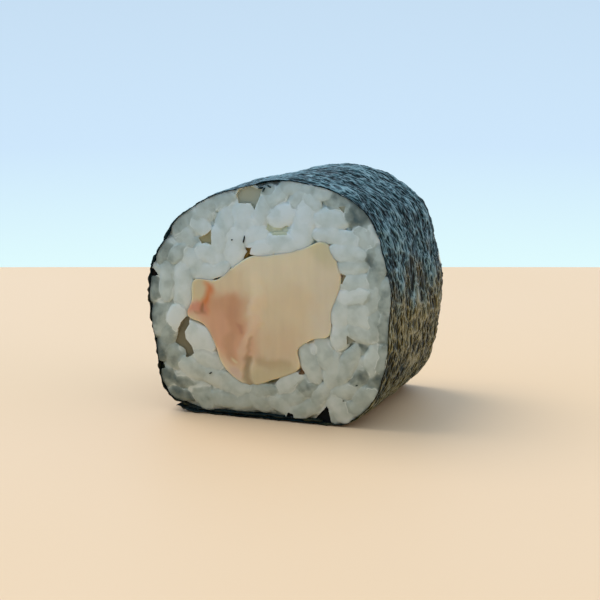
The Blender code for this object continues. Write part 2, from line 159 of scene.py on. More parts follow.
# The nori's relief: its layers, each with its scales along and across the fibres, detail and weight, and the
# nets of strands that the shader draws over it, each with its scale, the width of a strand and its weight
NORI_LAYERS = ((0.9, 1.1, 3.0, 0.3), (0.3, 0.25, 1.0, 0.2))
NORI_NETS = ((1.0, 0.2, 0.18), (2.3, 0.25, 0.16))
NORI_BLOTCH = 5.26316 * MM  # thicker and thinner patches of the pressed seaweed
NORI_GRIT = 0.263158 * MM  # the roughness of its cells
# Painted reflection: the nori's near-black tone is painted teal high up for the sky it reflects, and khaki
# low down for the warm table.
TABLE_REFLECTION_FULL = 30.0 * MM  # the height, shifted by the blotches, below which the nori is painted all khaki for the warm table it reflects
TABLE_REFLECTION_FROM = 36.0 * MM  # and the height above which none of it is
TABLE_REFLECTION_STRAY = 24.0 * MM  # how far the blotches raise the height that counts for this
SCRAP_POINTS = 11
SCRAP_THICKNESS = 0.15 * MM
SCRAP_RAGGED = (0.65, 1.1)  # the reach of a corner of a scrap, as a share of its half size
SCRAP_RELIEF = (0.15, 0.5)
SCRAP_SEED = 23

# The finer surface of the rice
GRAIN_SHAPES = 6
GRAIN_SHAPE_SEED = 3
CAGE_SWELL = 1.1  # the subdivided grain draws in from its coarse cage by this much
CAGE_BEND = 0.1  # how far a grain is bent at most, and how much thicker it is towards one end
CAGE_BEND_FROM = 0.4
CAGE_BULGE = 0.4  # how much fuller the grain is between its middle and its ends
NICK_SIDE = 0.6  # the way to the nick from the grain's middle, sideways and along it
NICK_ALONG = 0.85
NICK_DEPTH = 0.14
NICK_REACH = 0.5
CLEARNESS = (1.6, 3.0)  # how clear the thrown grains are: the powers of a beta distribution
GRAIN_SWELL = 1.17  # moist grains press into each other, the fish and the nori
GRAIN_PROUD = (0.1 * MM, 0.9 * MM)  # how far a grain would stand past the knife's plane
GRAIN_STEP = 0.12 * MM  # how unevenly the knife pressed one grain and the next
CLEAR_GRAINS_SINK = 1.2  # how soon the clearer grains stand the least proud
FILL_PROUD = (-0.5 * MM, 0.0 * MM)  # the same as GRAIN_PROUD, for the grains that close the spaces between
FILL_SEED = 41
RICE_PRESS = 0.1 * MM  # how far the rice bulges over the inner edge of the nori
RICE_STICK = 0.7 * MM  # how near to the nori it sticks to it
RICE_TURN = 0.3 * MM  # over what depth that sets in
RICE_LAP = 0.35 * MM  # how far the rice laps over the fish
RICE_SHARP = math.radians(60)
CORE_SETBACK = 0.95 * MM
CORE_ROWS = 12
KNIFE_PLANE = 0.3 * MM  # past the cut: what stands out is pressed back short of it
KNIFE_SOFTNESS = 1.0 * MM
SINK_FROM = 0.6 * MM  # how far behind the cut the rice starts to take on the painted shade of its gaps
SINK_OVER = 0.8 * MM
SINK_MOST = 0.5  # how strongly at most
GAP_TONE = "#aba88c"  # the shade deep between the grains
TONE_BLEND = 12.0  # how sharply one grain's tone gives way to the next
NEAR_GRAIN = 2.2  # only grains within this many half lengths of a place count for its tone
NO_GRAIN = 9.0  # stands for the distance to a grain where none is near, in half sizes of a grain
LEAST_WEIGHT = 1e-9
NO_ZERO = 1e-12  # keeps a level edge from dividing by zero
RICE_CLOUD = 1.92308 * MM  # denser and clearer starch within a grain
RICE_SOAKED = 3.0303 * MM  # spots where a grain has soaked up more water, half a grain long
RICE_RIM_PATCH = 2.5 * MM  # lengths of a grain's edge that catch the light
RICE_SKIN = 0.666667 * MM  # the unevenness of the moist skin

# The finer surface of the fish
FISH_RIM_POINTS = 280
FISH_RINGS = 64
FISH_ROWS = 14
FISH_INNERMOST = 0.02  # the size of the smallest ring in the middle of a cut, as a share of the section
FISH_SETBACK = 0.12 * MM  # how far the fish lies behind the plane of the cut
FISH_EDGE = 0.12 * MM  # radius of the rounding at the rim of a cut
FISH_EDGE_TURN = 0.98  # the rounding stops just short of a right angle
FISH_PRESS = 0.12 * MM  # how far the fish fills the space under the grains
FISH_SHARP = math.radians(70)
FISH_FIBRES = (1.11111 * MM, 16.6667 * MM, 7.69231 * MM)  # across the cut, along the strip and up the cut
FISH_CLOUD = 3.84615 * MM  # fattier and leaner flesh
FISH_BASE = "#e8d0a8"
FLESH_CAST = (0.88, 0.95, 1.03, 1.0)  # the warm light of the scene is taken off the tones of the flesh

# Tones and hollows of the flesh, from the first to the last laid over it: a line from X, Z to X, Z in mm,
# its half width and soft edge, how strongly it covers, how deep it sinks, and its colour. The dark lines
# in a crevice and beside the septum are painted shade in their hollows.
FLESH_TONES_AND_SHADE = (
    (-6.0, 24.0, 8.0, 25.5, 1.5, 4.5, 1.0, 0.0, "#ecdab6"),
    (9.6, 15.0, 10.0, 24.0, 0.5, 3.5, 0.8, 0.0, "#e6d5b6"),
    (9.0, 28.5, 9.8, 26.5, 0.4, 2.4, 0.9, 0.0, "#d9cca4"),
    (3.0, 12.0, -1.0, 11.5, 1.0, 4.0, 0.8, 0.0, "#e1c39b"),
    (-1.2, 9.2, 3.0, 8.8, 0.2, 1.3, 0.6, 0.05, "#bfa477"),
    (-1.0, 6.6, 4.5, 7.4, 0.6, 2.0, 0.7, 0.0, "#cfbb8e"),
    (-8.0, 16.4, -5.4, 12.0, 1.9, 3.4, 0.95, 0.0, "#e3ac84"),
    (-8.0, 18.4, -4.6, 18.0, 0.6, 2.8, 0.7, 0.0, "#d9a77d"),
    (-5.6, 18.2, -5.0, 14.0, 0.3, 1.6, 0.6, 0.03, "#cf9870"),
    (-6.2, 12.6, -5.9, 9.8, 0.2, 1.3, 0.6, 0.03, "#cc9a72"),
    (-4.6, 15.0, -4.5, 13.8, 0.05, 0.5, 0.5, 0.06, "#c18464"),
    (-7.6, 21.6, -5.0, 22.0, 0.8, 2.4, 0.8, 0.0, "#e7cda5"),
    (-10.0, 20.3, -10.6, 17.5, 0.25, 1.4, 0.95, 0.0, "#e08a52"),
    (-10.3, 18.9, -10.7, 17.5, 0.15, 0.9, 0.9, 0.0, "#dc7d33"),
    (-12.8, 16.8, -10.8, 17.2, 0.2, 1.4, 0.9, 0.0, "#de9a7c"),
    (-11.8, 21.2, -11.6, 19.4, 0.6, 1.4, 1.0, 0.0, "#dec99f"),
    # Painted shade in a crevice.
    (-10.4, 17.8, -10.7, 16.9, 0.04, 0.4, 0.6, 0.14, "#93672f"),
    (-10.3, 16.7, -11.7, 16.2, 0.02, 0.4, 0.35, 0.08, "#a07a45"),
    (-1.5, 22.0, -1.2, 18.5, 0.4, 1.4, 0.7, -0.08, "#f2dcb6"),
    (-1.2, 18.5, -1.9, 15.7, 0.4, 1.3, 0.85, -0.1, "#f0d2a9"),
    (-1.9, 15.7, -2.8, 13.6, 0.3, 1.1, 0.7, -0.08, "#ebc8a1"),
    (-2.8, 13.6, -4.0, 10.5, 0.15, 0.9, 0.75, -0.08, "#e8c29c"),
    (-4.0, 10.5, -4.7, 8.2, 0.15, 0.8, 0.7, -0.06, "#e4c09a"),
    # Painted shade in the hollows just right of the pale septum.
    (-2.3, 13.2, -3.4, 10.0, 0.03, 0.45, 0.5, 0.1, "#c79c75"),
    (-3.3, 9.2, -3.0, 5.4, 0.2, 0.9, 0.75, 0.25, "#ab8f63"),
    (-5.6, 9.3, -5.4, 9.2, 0.1, 0.4, 0.7, -0.05, "#ead8a8"),
    (-5.6, 7.2, -4.6, 6.8, 0.4, 1.0, 0.6, 0.0, "#d9b5a0"),
)

# How far, and over what length, the tones of the flesh and the edges of the grains stray
FLESH_WANDER = ((0.3 * MM, 5.2 * MM), (0.07 * MM, 1.6 * MM))
RICE_WANDER = ((0.22 * MM, 3.1 * MM), (0.1 * MM, 1.3 * MM))
WANDER_BEND = (1.3, 0.7)  # how far, and how fast against their length, these waves bend

# Scraps of nori that lie on the rice or show in its gaps: X, Z, length and width in mm, turn in degrees, and
# how far behind the cut.
SCRAPS = (
    (-0.8, 36.4, 1.0, 0.35, 15, 0.1), (-0.3, 36.2, 0.9, 0.3, 60, 0.1), (0.6, 36.7, 0.8, 0.25, -30, 0.1),
    (-16.9, 28.2, 0.8, 0.45, 50, 0.1), (-5.6, 28.2, 0.3, 0.25, 0, 0.0), (-9.4, 6.8, 0.6, 0.25, 30, 0.0),
    (-3.6, 28.4, 1.4, 0.22, 78, 0.1), (14.8, 6.8, 0.4, 0.15, 20, 0.0), (12.7, 4.2, 0.35, 0.15, 0, 0.0),
)

# Every grain that shows on the front cut face: X, Z, length and width in mm, the turn in degrees from lying
# level, and how clear the grain is, from 0 for a white one to 10 for a glassy one.
SHOWN_GRAINS = (
    (-3.9, 31.2, 5.2, 3.1, -78, 1), (-6.8, 31.0, 6.0, 3.0, 82, 2), (-7.9, 28.3, 5.0, 2.7, 80, 1),
    (-5.3, 27.3, 6.5, 3.2, 78, 0), (-1.9, 29.0, 4.4, 3.3, 12, 0), (-10.6, 32.0, 4.6, 3.0, 20, 4),
    (-10.9, 30.1, 4.4, 2.6, -30, 2), (-14.0, 28.4, 5.6, 3.4, -55, 4), (-17.0, 25.8, 4.2, 2.6, 52, 7),
    (-15.0, 25.6, 3.6, 2.2, 40, 5), (-12.6, 24.8, 4.8, 3.0, -35, 2), (-9.3, 25.6, 5.4, 3.0, -18, 1),
    (-10.4, 22.9, 4.8, 2.7, 5, 2), (-16.9, 21.2, 6.0, 2.4, 88, 4), (-14.3, 20.6, 7.6, 3.5, 87, 2),
    (-18.9, 20.0, 5.2, 2.4, 86, 8), (-0.8, 32.6, 5.0, 2.8, 78, 2), (-9.6, 34.0, 4.0, 2.0, 30, 5),
    (-7.2, 34.1, 4.2, 2.2, 24, 4), (-13.2, 31.9, 3.8, 2.4, 50, 6), (-14.8, 30.6, 3.4, 2.0, 60, 6),
    (-3.3, 36.3, 3.8, 1.8, 12, 4), (2.4, 32.4, 4.6, 3.4, 20, 0), (1.5, 35.1, 4.6, 2.7, 38, 3),
    (3.8, 36.7, 4.4, 2.0, 12, 4), (7.0, 36.7, 3.8, 2.0, -8, 5), (5.0, 34.8, 3.8, 2.4, 68, 4),
    (7.1, 35.0, 4.2, 2.3, -48, 3), (6.2, 32.4, 5.2, 3.3, 85, 1), (2.2, 28.0, 5.2, 3.1, 5, 1),
    (5.8, 29.4, 5.2, 3.6, 78, 1), (10.6, 32.0, 5.2, 3.4, 0, 2), (11.1, 34.9, 4.8, 2.8, -22, 6),
    (8.9, 36.0, 3.6, 2.0, -20, 3), (15.1, 32.4, 6.2, 3.6, -47, 9), (10.0, 29.4, 4.8, 2.7, 0, 2),
    (13.1, 29.0, 4.0, 2.7, -10, 2), (15.9, 29.3, 4.6, 3.1, -52, 4), (13.4, 27.0, 5.6, 2.8, -8, 2),
    (17.0, 26.5, 3.8, 2.4, -72, 7), (13.8, 25.0, 5.2, 2.8, 10, 3), (14.6, 22.6, 5.2, 2.8, 8, 3),
    (17.5, 23.4, 5.4, 2.6, 85, 6), (18.6, 26.2, 4.6, 1.8, -80, 6), (14.0, 20.4, 5.2, 2.7, 12, 1),
    (17.0, 19.9, 5.0, 2.6, 75, 4), (19.0, 20.6, 5.6, 2.0, 88, 6), (-15.6, 15.1, 4.6, 2.8, 68, 0),
    (-18.4, 15.4, 6.2, 2.8, 85, 6), (-16.9, 12.6, 4.2, 2.6, 75, 7), (-16.2, 9.2, 5.8, 3.5, -50, 7),
    (-11.6, 12.3, 5.8, 3.7, -30, 0), (-9.7, 9.2, 6.2, 3.4, -30, 2), (-12.3, 7.2, 5.2, 3.0, -25, 3),
    (-8.2, 6.0, 5.8, 2.8, -10, 3), (-5.1, 5.4, 5.4, 2.7, -8, 3), (-14.0, 4.9, 4.8, 2.4, -8, 8),
    (-16.9, 5.6, 3.6, 2.4, -60, 8), (-14.6, 2.9, 4.2, 2.0, -14, 9), (-11.0, 2.9, 4.6, 3.0, -45, 5),
    (-7.4, 2.7, 5.0, 2.8, 0, 5), (-4.2, 2.7, 4.6, 2.8, 12, 5), (-1.2, 2.8, 4.6, 2.8, -20, 4),
    (-0.6, 4.9, 5.0, 2.4, 2, 5), (3.4, 6.2, 4.8, 2.9, 40, 2), (1.8, 3.0, 4.6, 2.8, -25, 3),
    (4.4, 3.9, 4.4, 2.4, 20, 4), (6.5, 2.2, 6.4, 2.7, 24, 4), (6.7, 5.4, 4.8, 2.7, 12, 6),
    (9.0, 4.9, 4.2, 2.4, 60, 4), (7.0, 9.6, 6.6, 2.9, -68, 3), (9.4, 11.8, 5.2, 2.8, -70, 3),
    (10.8, 8.8, 5.8, 2.5, 82, 3), (13.1, 9.7, 7.2, 2.8, 62, 4), (11.9, 14.6, 4.8, 2.9, 86, 2),
    (15.1, 14.9, 4.8, 3.0, -14, 4), (11.9, 17.8, 5.0, 2.9, 85, 2), (14.4, 18.3, 4.6, 2.6, 12, 3),
    (15.1, 16.9, 4.6, 2.4, -18, 3), (17.4, 16.6, 5.6, 2.5, 86, 5), (18.9, 15.4, 6.0, 2.2, 88, 7),
    (17.3, 11.0, 4.8, 2.6, 80, 3), (18.7, 10.4, 5.4, 2.0, 82, 6), (15.3, 7.9, 5.4, 2.9, 55, 8),
    (17.2, 6.9, 4.4, 2.4, 70, 8), (12.9, 5.6, 4.4, 2.6, 15, 4), (15.9, 5.0, 4.4, 2.8, 35, 5),
    (12.0, 3.0, 5.0, 3.1, -48, 2), (15.0, 2.9, 4.6, 2.4, 20, 5), (-0.7, 27.1, 4.0, 2.2, 4, 0),
    (-18.3, 10.6, 4.8, 2.2, 82, 8), (0.3, 36.1, 2.8, 1.5, 22, 5), (-7.7, 23.5, 3.2, 1.9, 35, 2),
)

# Hollows in the front cut, where grains are missing: how deep in mm, the tone of what shows in it, painted as
# the shade deep in it, and the corners of its outline, X and Z in mm.
POCKETS = (
    (0.7, "#c3c0ab", (
        (-4.9, 35.2), (-4.3, 36.0), (-2.7, 36.5), (-0.7, 36.1), (-1.1, 35.0), (-1.9, 33.0), (-2.6, 34.0),
        (-4.5, 33.9),
    )),
    (0.7, "#c0b590", (
        (-11.4, 28.2), (-10.1, 28.7), (-9.2, 29.5), (-9.1, 27.2), (-10.1, 27.5), (-10.8, 27.3),
    )),
    (0.4, "#dfe0c6", (
        (0.2, 30.9), (1.1, 30.4), (2.4, 30.3), (3.3, 30.8), (3.4, 29.4), (1.2, 29.2), (0.0, 30.1),
    )),
    (0.7, "#957338", (
        (-3.6, 27.0), (-2.4, 27.1), (-2.7, 26.2), (-2.9, 25.3), (-4.0, 24.8), (-3.7, 25.7), (-3.3, 26.3),
    )),
    (0.9, "#958c73", (
        (-14.4, 14.7), (-13.8, 15.4), (-13.2, 15.5), (-13.0, 14.4), (-13.8, 13.1), (-13.7, 12.0),
        (-12.7, 10.9), (-12.3, 9.7), (-13.3, 9.0), (-13.8, 9.0), (-14.1, 10.2), (-15.7, 11.1),
        (-15.2, 12.6), (-15.0, 13.5),
    )),
    (0.6, "#acaea0", ((13.1, 14.4), (14.5, 13.6), (13.1, 13.0))),
    (0.6, "#96795f", ((5.1, 8.9), (5.6, 9.0), (6.1, 7.7), (5.3, 7.7))),
    (0.5, "#a39264", ((10.3, 16.0), (10.2, 14.2), (9.0, 14.6))),
    (0.4, "#b9b8a4", ((11.7, 34.0), (12.8, 34.2), (12.5, 33.1))),
    (0.5, "#ab9c7c", ((11.6, 24.0), (12.9, 23.6), (12.4, 22.5), (11.7, 21.8))),
    (1.0, "#020300", ((7.0, -0.4), (8.0, 0.9), (9.0, 2.0), (9.9, 3.0), (10.2, 2.0), (10.7, -0.4))),
    (0.8, "#040501", ((2.9, 0.3), (3.6, 1.5), (4.4, 1.3), (4.7, 0.3))),
    (0.8, "#0a0603", ((-19.9, 22.7), (-19.2, 22.9), (-18.4, 21.9), (-19.6, 21.6))),
    (0.8, "#20260f", ((-18.4, 8.0), (-17.7, 7.3), (-17.5, 6.9), (-18.5, 6.5))),
)
POCKET_LIP = 0.06 * MM  # how far past its outline a pocket's walls still count as it
POCKET_DEEPEST = 5.0 * MM
POCKET_START = 1.0 * MM  # how far in front of the cut its cutter begins


# ---------------------------------------------------------------- small helpers

def linear(hex_colour):
    """A colour written as sRGB hex, as linear red, green and blue with full alpha."""
    shares = [int(hex_colour[i:i + 2], 16) / 255.0 for i in (1, 3, 5)]
    return (*[s / 12.92 if s <= 0.04045 else ((s + 0.055) / 1.055) ** 2.4 for s in shares], 1.0)


def dress(node, sockets):
    """Each of the node's sockets, by its place or its name, takes a value, the output of a node, or a node,
    which stands for its first output in use."""
    for name, value in sockets.items() if isinstance(sockets, dict) else enumerate(sockets):
        if isinstance(value, bpy.types.Node):
            value = next(output for output in value.outputs if output.enabled)
        if isinstance(value, bpy.types.NodeSocket):
            node.id_data.links.new(value, node.inputs[name])
        else:
            node.inputs[name].default_value = value


def add_node(tree, kind, sockets=(), stops=(), **settings):
    """Adds a node with its settings. Stops fill a colour ramp."""
    node = tree.nodes.new(kind)
    for name, value in settings.items():
        setattr(node, name, value)
    dress(node, sockets)
    if stops:
        ramp = node.color_ramp.elements
        while len(ramp) < len(stops):
            ramp.new(1.0)
        for element, (place, colour) in zip(ramp, stops):
            element.position = place
            element.color = linear(colour)
    return node


def new_material(name):
    """A named material, its node tree and its shader."""
    material = bpy.data.materials.new(name)
    material.use_nodes = True
    tree = material.node_tree
    return material, tree, tree.nodes["Principled BSDF"]


def new_object(name, bm):
    """An object with a mesh of its own, in the scene."""
    mesh = bpy.data.meshes.new(name)
    bm.to_mesh(mesh)
    bm.free()
    made = bpy.data.objects.new(name, mesh)
    bpy.context.scene.collection.objects.link(made)
    return made


def new_tree(name, inputs):
    """A tree of geometry nodes with named inputs, and the outputs of its input node."""
    tree = bpy.data.node_groups.new(name, "GeometryNodeTree")
    for label, kind in {"Geometry": "Geometry", **inputs}.items():
        tree.interface.new_socket(label, in_out="INPUT", socket_type="NodeSocket" + kind)
    tree.interface.new_socket("Geometry", in_out="OUTPUT", socket_type="NodeSocketGeometry")
    return tree, add_node(tree, "NodeGroupInput").outputs


def finish_tree(tree, geometry, material):
    """Ends a tree with real meshes in their material."""
    real = add_node(tree, "GeometryNodeRealizeInstances", [geometry])
    clad = add_node(tree, "GeometryNodeSetMaterial", {"Geometry": real, "Material": material})
    add_node(tree, "NodeGroupOutput", [clad])
    return tree


def grow(base, tree, values):
    """Runs a tree on a base object, which keeps the result as its own plain mesh."""
    modifier = base.modifiers.new("Grow", "NODES")
    modifier.node_group = tree
    for socket in tree.interface.items_tree:
        if socket.name in values:
            modifier[socket.identifier] = values[socket.name]
    graph = bpy.context.evaluated_depsgraph_get()
    mesh = bpy.data.meshes.new_from_object(base.evaluated_get(graph))
    base.modifiers.clear()
    base.data = mesh
    return base


def store(mesh, name, values, kind="FLOAT", domain="POINT"):
    """Keeps a value for each vertex or face corner, which the materials and trees read by its name."""
    attribute = mesh.attributes.new(name, kind, domain)
    field = {"FLOAT_VECTOR": "vector", "FLOAT_COLOR": "color", "FLOAT": "value"}[kind]
    attribute.data.foreach_set(field, np.asarray(values, np.float32).ravel())


def places_of(mesh):
    """The places of a mesh's vertices, one row each."""
    places = np.zeros(len(mesh.vertices) * 3, np.float32)
    mesh.vertices.foreach_get("co", places)
    return places.reshape(-1, 3).astype(float)


def set_places(mesh, places):
    mesh.vertices.foreach_set("co", np.asarray(places, np.float32).ravel())
    mesh.update()


def finish_piece(piece, node):
    """Every piece rides on the one body, and takes a node's place where it stands for one."""
    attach(piece, "root")
    if node:
        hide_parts(node)


# ---------------------------------------------------------------- outlines, as in the solids

def closed_curve(stations, count):
    """Evenly spaced points, in metres, on a smooth closed curve through the stations, which are in mm."""
    knots = np.array(stations) * MM
    before, after, beyond = (np.roll(knots, shift, axis=0) for shift in (1, -1, -2))
    fine = []
    for t in np.linspace(0.0, 1.0, CURVE_FINENESS, endpoint=False):
        fine.append(
            knots
            + 0.5 * t * (after - before)
            + 0.5 * t**2 * (2.0 * before - 5.0 * knots + 4.0 * after - beyond)
            + 0.5 * t**3 * (3.0 * knots - before - 3.0 * after + beyond)
        )
    path = np.stack(fine, axis=1).reshape(-1, 2)
    path = np.vstack([path, path[:1]])
    run = np.concatenate([[0.0], np.cumsum(np.hypot(*np.diff(path, axis=0).T))])
    even = np.linspace(0.0, run[-1], count, endpoint=False)
    points = np.stack([np.interp(even, run, path[:, axis]) for axis in (0, 1)], axis=1)
    points[:, 1] = np.maximum(points[:, 1], 0.0)
    return points


def inward(points):
    """Unit vectors that point into a closed outline which runs clockwise."""
    along = np.roll(points, -1, axis=0) - np.roll(points, 1, axis=0)
    along /= np.hypot(*along.T)[:, None]
    return np.stack([along[:, 1], -along[:, 0]], axis=1)


def smooth_step(share):
    """From 0 to 1 with a soft start and end."""
    share = np.clip(share, 0.0, 1.0)
    return share * share * (3.0 - 2.0 * share)


def ripple(step, y, z):
    """How far the sheet lies inside its mean outline, at a step round the roll."""
    turn = 2.0 * math.pi * step / TURN_STEPS
    along = 2.0 * math.pi * y / ROLL_LENGTH
    wander = 1.0
    for waves, share, slant in zip(RIPPLE_WAVES, RIPPLE_SHARES, RIPPLE_SLANTS):
        wander = wander + share * np.sin(waves * (turn + RIPPLE_START) + slant * along)
    return RIPPLE * wander * smooth_step(z / FLAT_FADE)


def settled(places):
    """The slight taper, shift, swelling and sinking of the soft roll, which leave its underside flat."""
    x, y, z = places.T
    back = 0.5 + y / ROLL_LENGTH
    up = z / ROLL_HEIGHT
    swell = BELLY / ROLL_HEIGHT * np.cos(math.pi * y / ROLL_LENGTH) * smooth_step(2.0 * up)
    corner = x / (ROLL_WIDTH / 2) + up
    sunk = SHOULDER_DROP * back * smooth_step((corner - SHOULDER_FROM) / SHOULDER_OVER)
    size = 1.0 - BACK_TAPER * back + swell - sunk
    return np.stack([x * size + BACK_SHIFT * back, y, z * size], axis=1)


def sheet_inset(step):
    """The inner layer lies under the outer one up to the free end, and then comes out to the surface."""
    return (NORI_THICKNESS + LAYER_GAP) * (1.0 - smooth_step((step - OVERLAP_STEPS) / EASE_STEPS))


def wrap_points(step, y, inset):
    """Points at steps round the roll, at a depth under its outer surface, before the roll settles."""
    index = np.round(step * SHEET_FINENESS).astype(int) % (TURN_STEPS * SHEET_FINENESS)
    place, into = WRAP_OUTLINE[index], WRAP_INWARD[index]
    sunk = place + into * (inset + ripple(step, y, place[:, 1]))[:, None]
    return np.stack([sunk[:, 0], y, sunk[:, 1]], axis=1)


def fish_section(y, grow_by):
    """The strip's outline at a place along the roll, grown by a clearance, before the roll settles."""
    back = 0.5 + y / ROLL_LENGTH
    turn = FISH_BACK_TURN * back
    scale = 1.0 + (FISH_BACK_SCALE - 1.0) * back
    centre = np.array(FISH_CENTRE) * MM
    x, z = ((FISH_OUTLINE - FISH_INWARD * grow_by - centre) * scale).T
    cos, sin = math.cos(turn), math.sin(turn)
    return np.stack([x * cos - z * sin, x * sin + z * cos], axis=1) + centre


def rice_outline(y, clearance):
    """The inside of the wrap at a place along the roll, as X and Z, drawn in by a clearance."""
    steps = np.arange(TURN_STEPS, dtype=float)
    inset = sheet_inset(steps) + NORI_THICKNESS + clearance
    return wrap_points(steps, np.full(TURN_STEPS, y), inset)[:, ::2]


def tube(bm, rings):
    """An open tube of quads through rings with equal counts of points. It returns the rings' vertices."""
    rows = [[bm.verts.new(point) for point in ring] for ring in rings]
    for near, far in zip(rows, rows[1:]):
        for i, vert in enumerate(near):
            follow = (i + 1) % len(near)
            bm.faces.new((vert, near[follow], far[follow], far[i]))
    return rows


def rim(bm, row):
    """The edges that join a ring's vertices."""
    return [bm.edges.get((vert, row[(i + 1) % len(row)])) for i, vert in enumerate(row)]


# ---------------------------------------------------------------- packing of the grains, as in the solids

def depth_inside(points, outline, normals):
    """For each point, how far it is inside the outline and the inward direction of the nearest station."""
    apart = points[:, None, :] - outline[None, :, :]
    nearest = np.argmin((apart**2).sum(axis=2), axis=1)
    picked = np.arange(len(points))
    return (apart[picked, nearest] * normals[nearest]).sum(axis=1), normals[nearest]


def pack_grains(rng, fixed, wall, hole):
    """Rows of X, Z, length, width and turn: the fixed grains first, then grains thrown one by one into
    the emptiest places. The thrown ones are then pushed off all grains and both outlines."""
    grains = np.array(fixed).reshape(-1, 5) * [MM, MM, MM, MM, math.radians(1)]
    held = np.arange(max(GRAINS_PER_FACE, len(grains))) < len(grains)
    while len(grains) < GRAINS_PER_FACE:
        thrown = rng.uniform(wall[0].min(axis=0), wall[0].max(axis=0), (THROWS, 2))
        inside, into = depth_inside(thrown, *wall)
        clear = np.minimum(inside, -depth_inside(thrown, *hole)[0])
        taken = beads_of(grains)[0]
        between = thrown[:, None, :] - taken[None, :, :]
        apart = np.sqrt((between**2).sum(axis=2)).min(axis=1, initial=GRAIN_LENGTH[1])
        best = np.argmax(np.minimum(clear, apart / 2.0))
        turn = math.atan2(-into[best, 0], into[best, 1]) + rng.normal(0.0, GRAIN_STRAY)
        row = [*thrown[best], rng.uniform(*GRAIN_LENGTH), rng.uniform(*GRAIN_WIDTH), turn]
        grains = np.vstack([grains, row])
    for _ in range(PACK_STEPS):
        loosen(grains, held, wall, hole)
    return grains


def beads_of(grains):
    """Each grain as three round beads in a row: the beads' places, the reach of the row and its direction."""
    reach = (grains[:, 2] - grains[:, 3]) / 2
    along = np.stack([np.cos(grains[:, 4]), np.sin(grains[:, 4])], axis=1)
    offsets = BEADS[None, :, None] * (reach[:, None] * along)[:, None, :]
    return (grains[:, None, :2] + offsets).reshape(-1, 2), reach, along


def loosen(grains, held, wall, hole):
    """One step of pushing: beads push each other apart, and the outlines push them off."""
    beads, reach, along = beads_of(grains)
    owner = np.repeat(np.arange(len(grains)), 3)
    radius = np.repeat(grains[:, 3] / 2, 3) * GRAIN_PRESS
    apart = beads[:, None, :] - beads[None, :, :]
    far = np.maximum(np.sqrt((apart**2).sum(axis=2)), LEAST_APART)
    squeeze = np.maximum(radius[:, None] + radius[None, :] - far, 0.0)
    squeeze[owner[:, None] == owner[None, :]] = 0.0
    push = (apart / far[..., None] * squeeze[..., None]).sum(axis=1) * PUSH_APART
    for (outline, normals), side in ((wall, 1.0), (hole, -1.0)):
        depth, direction = depth_inside(beads, outline, normals)
        short = np.maximum(radius / GRAIN_PRESS - side * depth, 0.0)
        push += side * direction * short[:, None] * PUSH_OFF_WALL
    shove = push.reshape(-1, 3, 2)
    lever = (BEADS[None, :, None] * shove).sum(axis=1)
    swing = (lever[:, 1] * along[:, 0] - lever[:, 0] * along[:, 1]) / (2.0 * np.maximum(reach, LEAST_REACH))
    grains[~held, :2] += shove[~held].mean(axis=1)
    grains[~held, 4] += swing[~held]


def grain_rim(row):
    """Points round a grain's outline."""
    x, z, length, width, turn = row
    angles = np.linspace(0.0, 2.0 * math.pi, GRAIN_RIM_POINTS, endpoint=False)
    along, across = np.cos(angles) * length / 2, np.sin(angles) * width / 2
    cos, sin = math.cos(turn), math.sin(turn)
    return np.stack([x + along * cos - across * sin, z + along * sin + across * cos], axis=1)


def fitted(row, wall, hole):
    """The grain, moved and then shortened until it is clear of the sheet and the fish, or nothing."""
    for attempt in range(FIT_MOVES):
        rim_points = grain_rim(row)
        inside, into = depth_inside(rim_points, *wall)
        sunk, out_of = depth_inside(rim_points, *hole)
        tight, deep = np.argmin(inside), np.argmax(sunk)
        if inside[tight] >= 0.0 and sunk[deep] <= 0.0:
            return row
        row = row.copy()
        row[:2] += into[tight] * max(-inside[tight], 0.0) - out_of[deep] * max(sunk[deep], 0.0)
        if attempt >= FIT_WHOLE_MOVES:
            row[2:4] *= FIT_SHRINK
    return None


# ---------------------------------------------------------------- nori

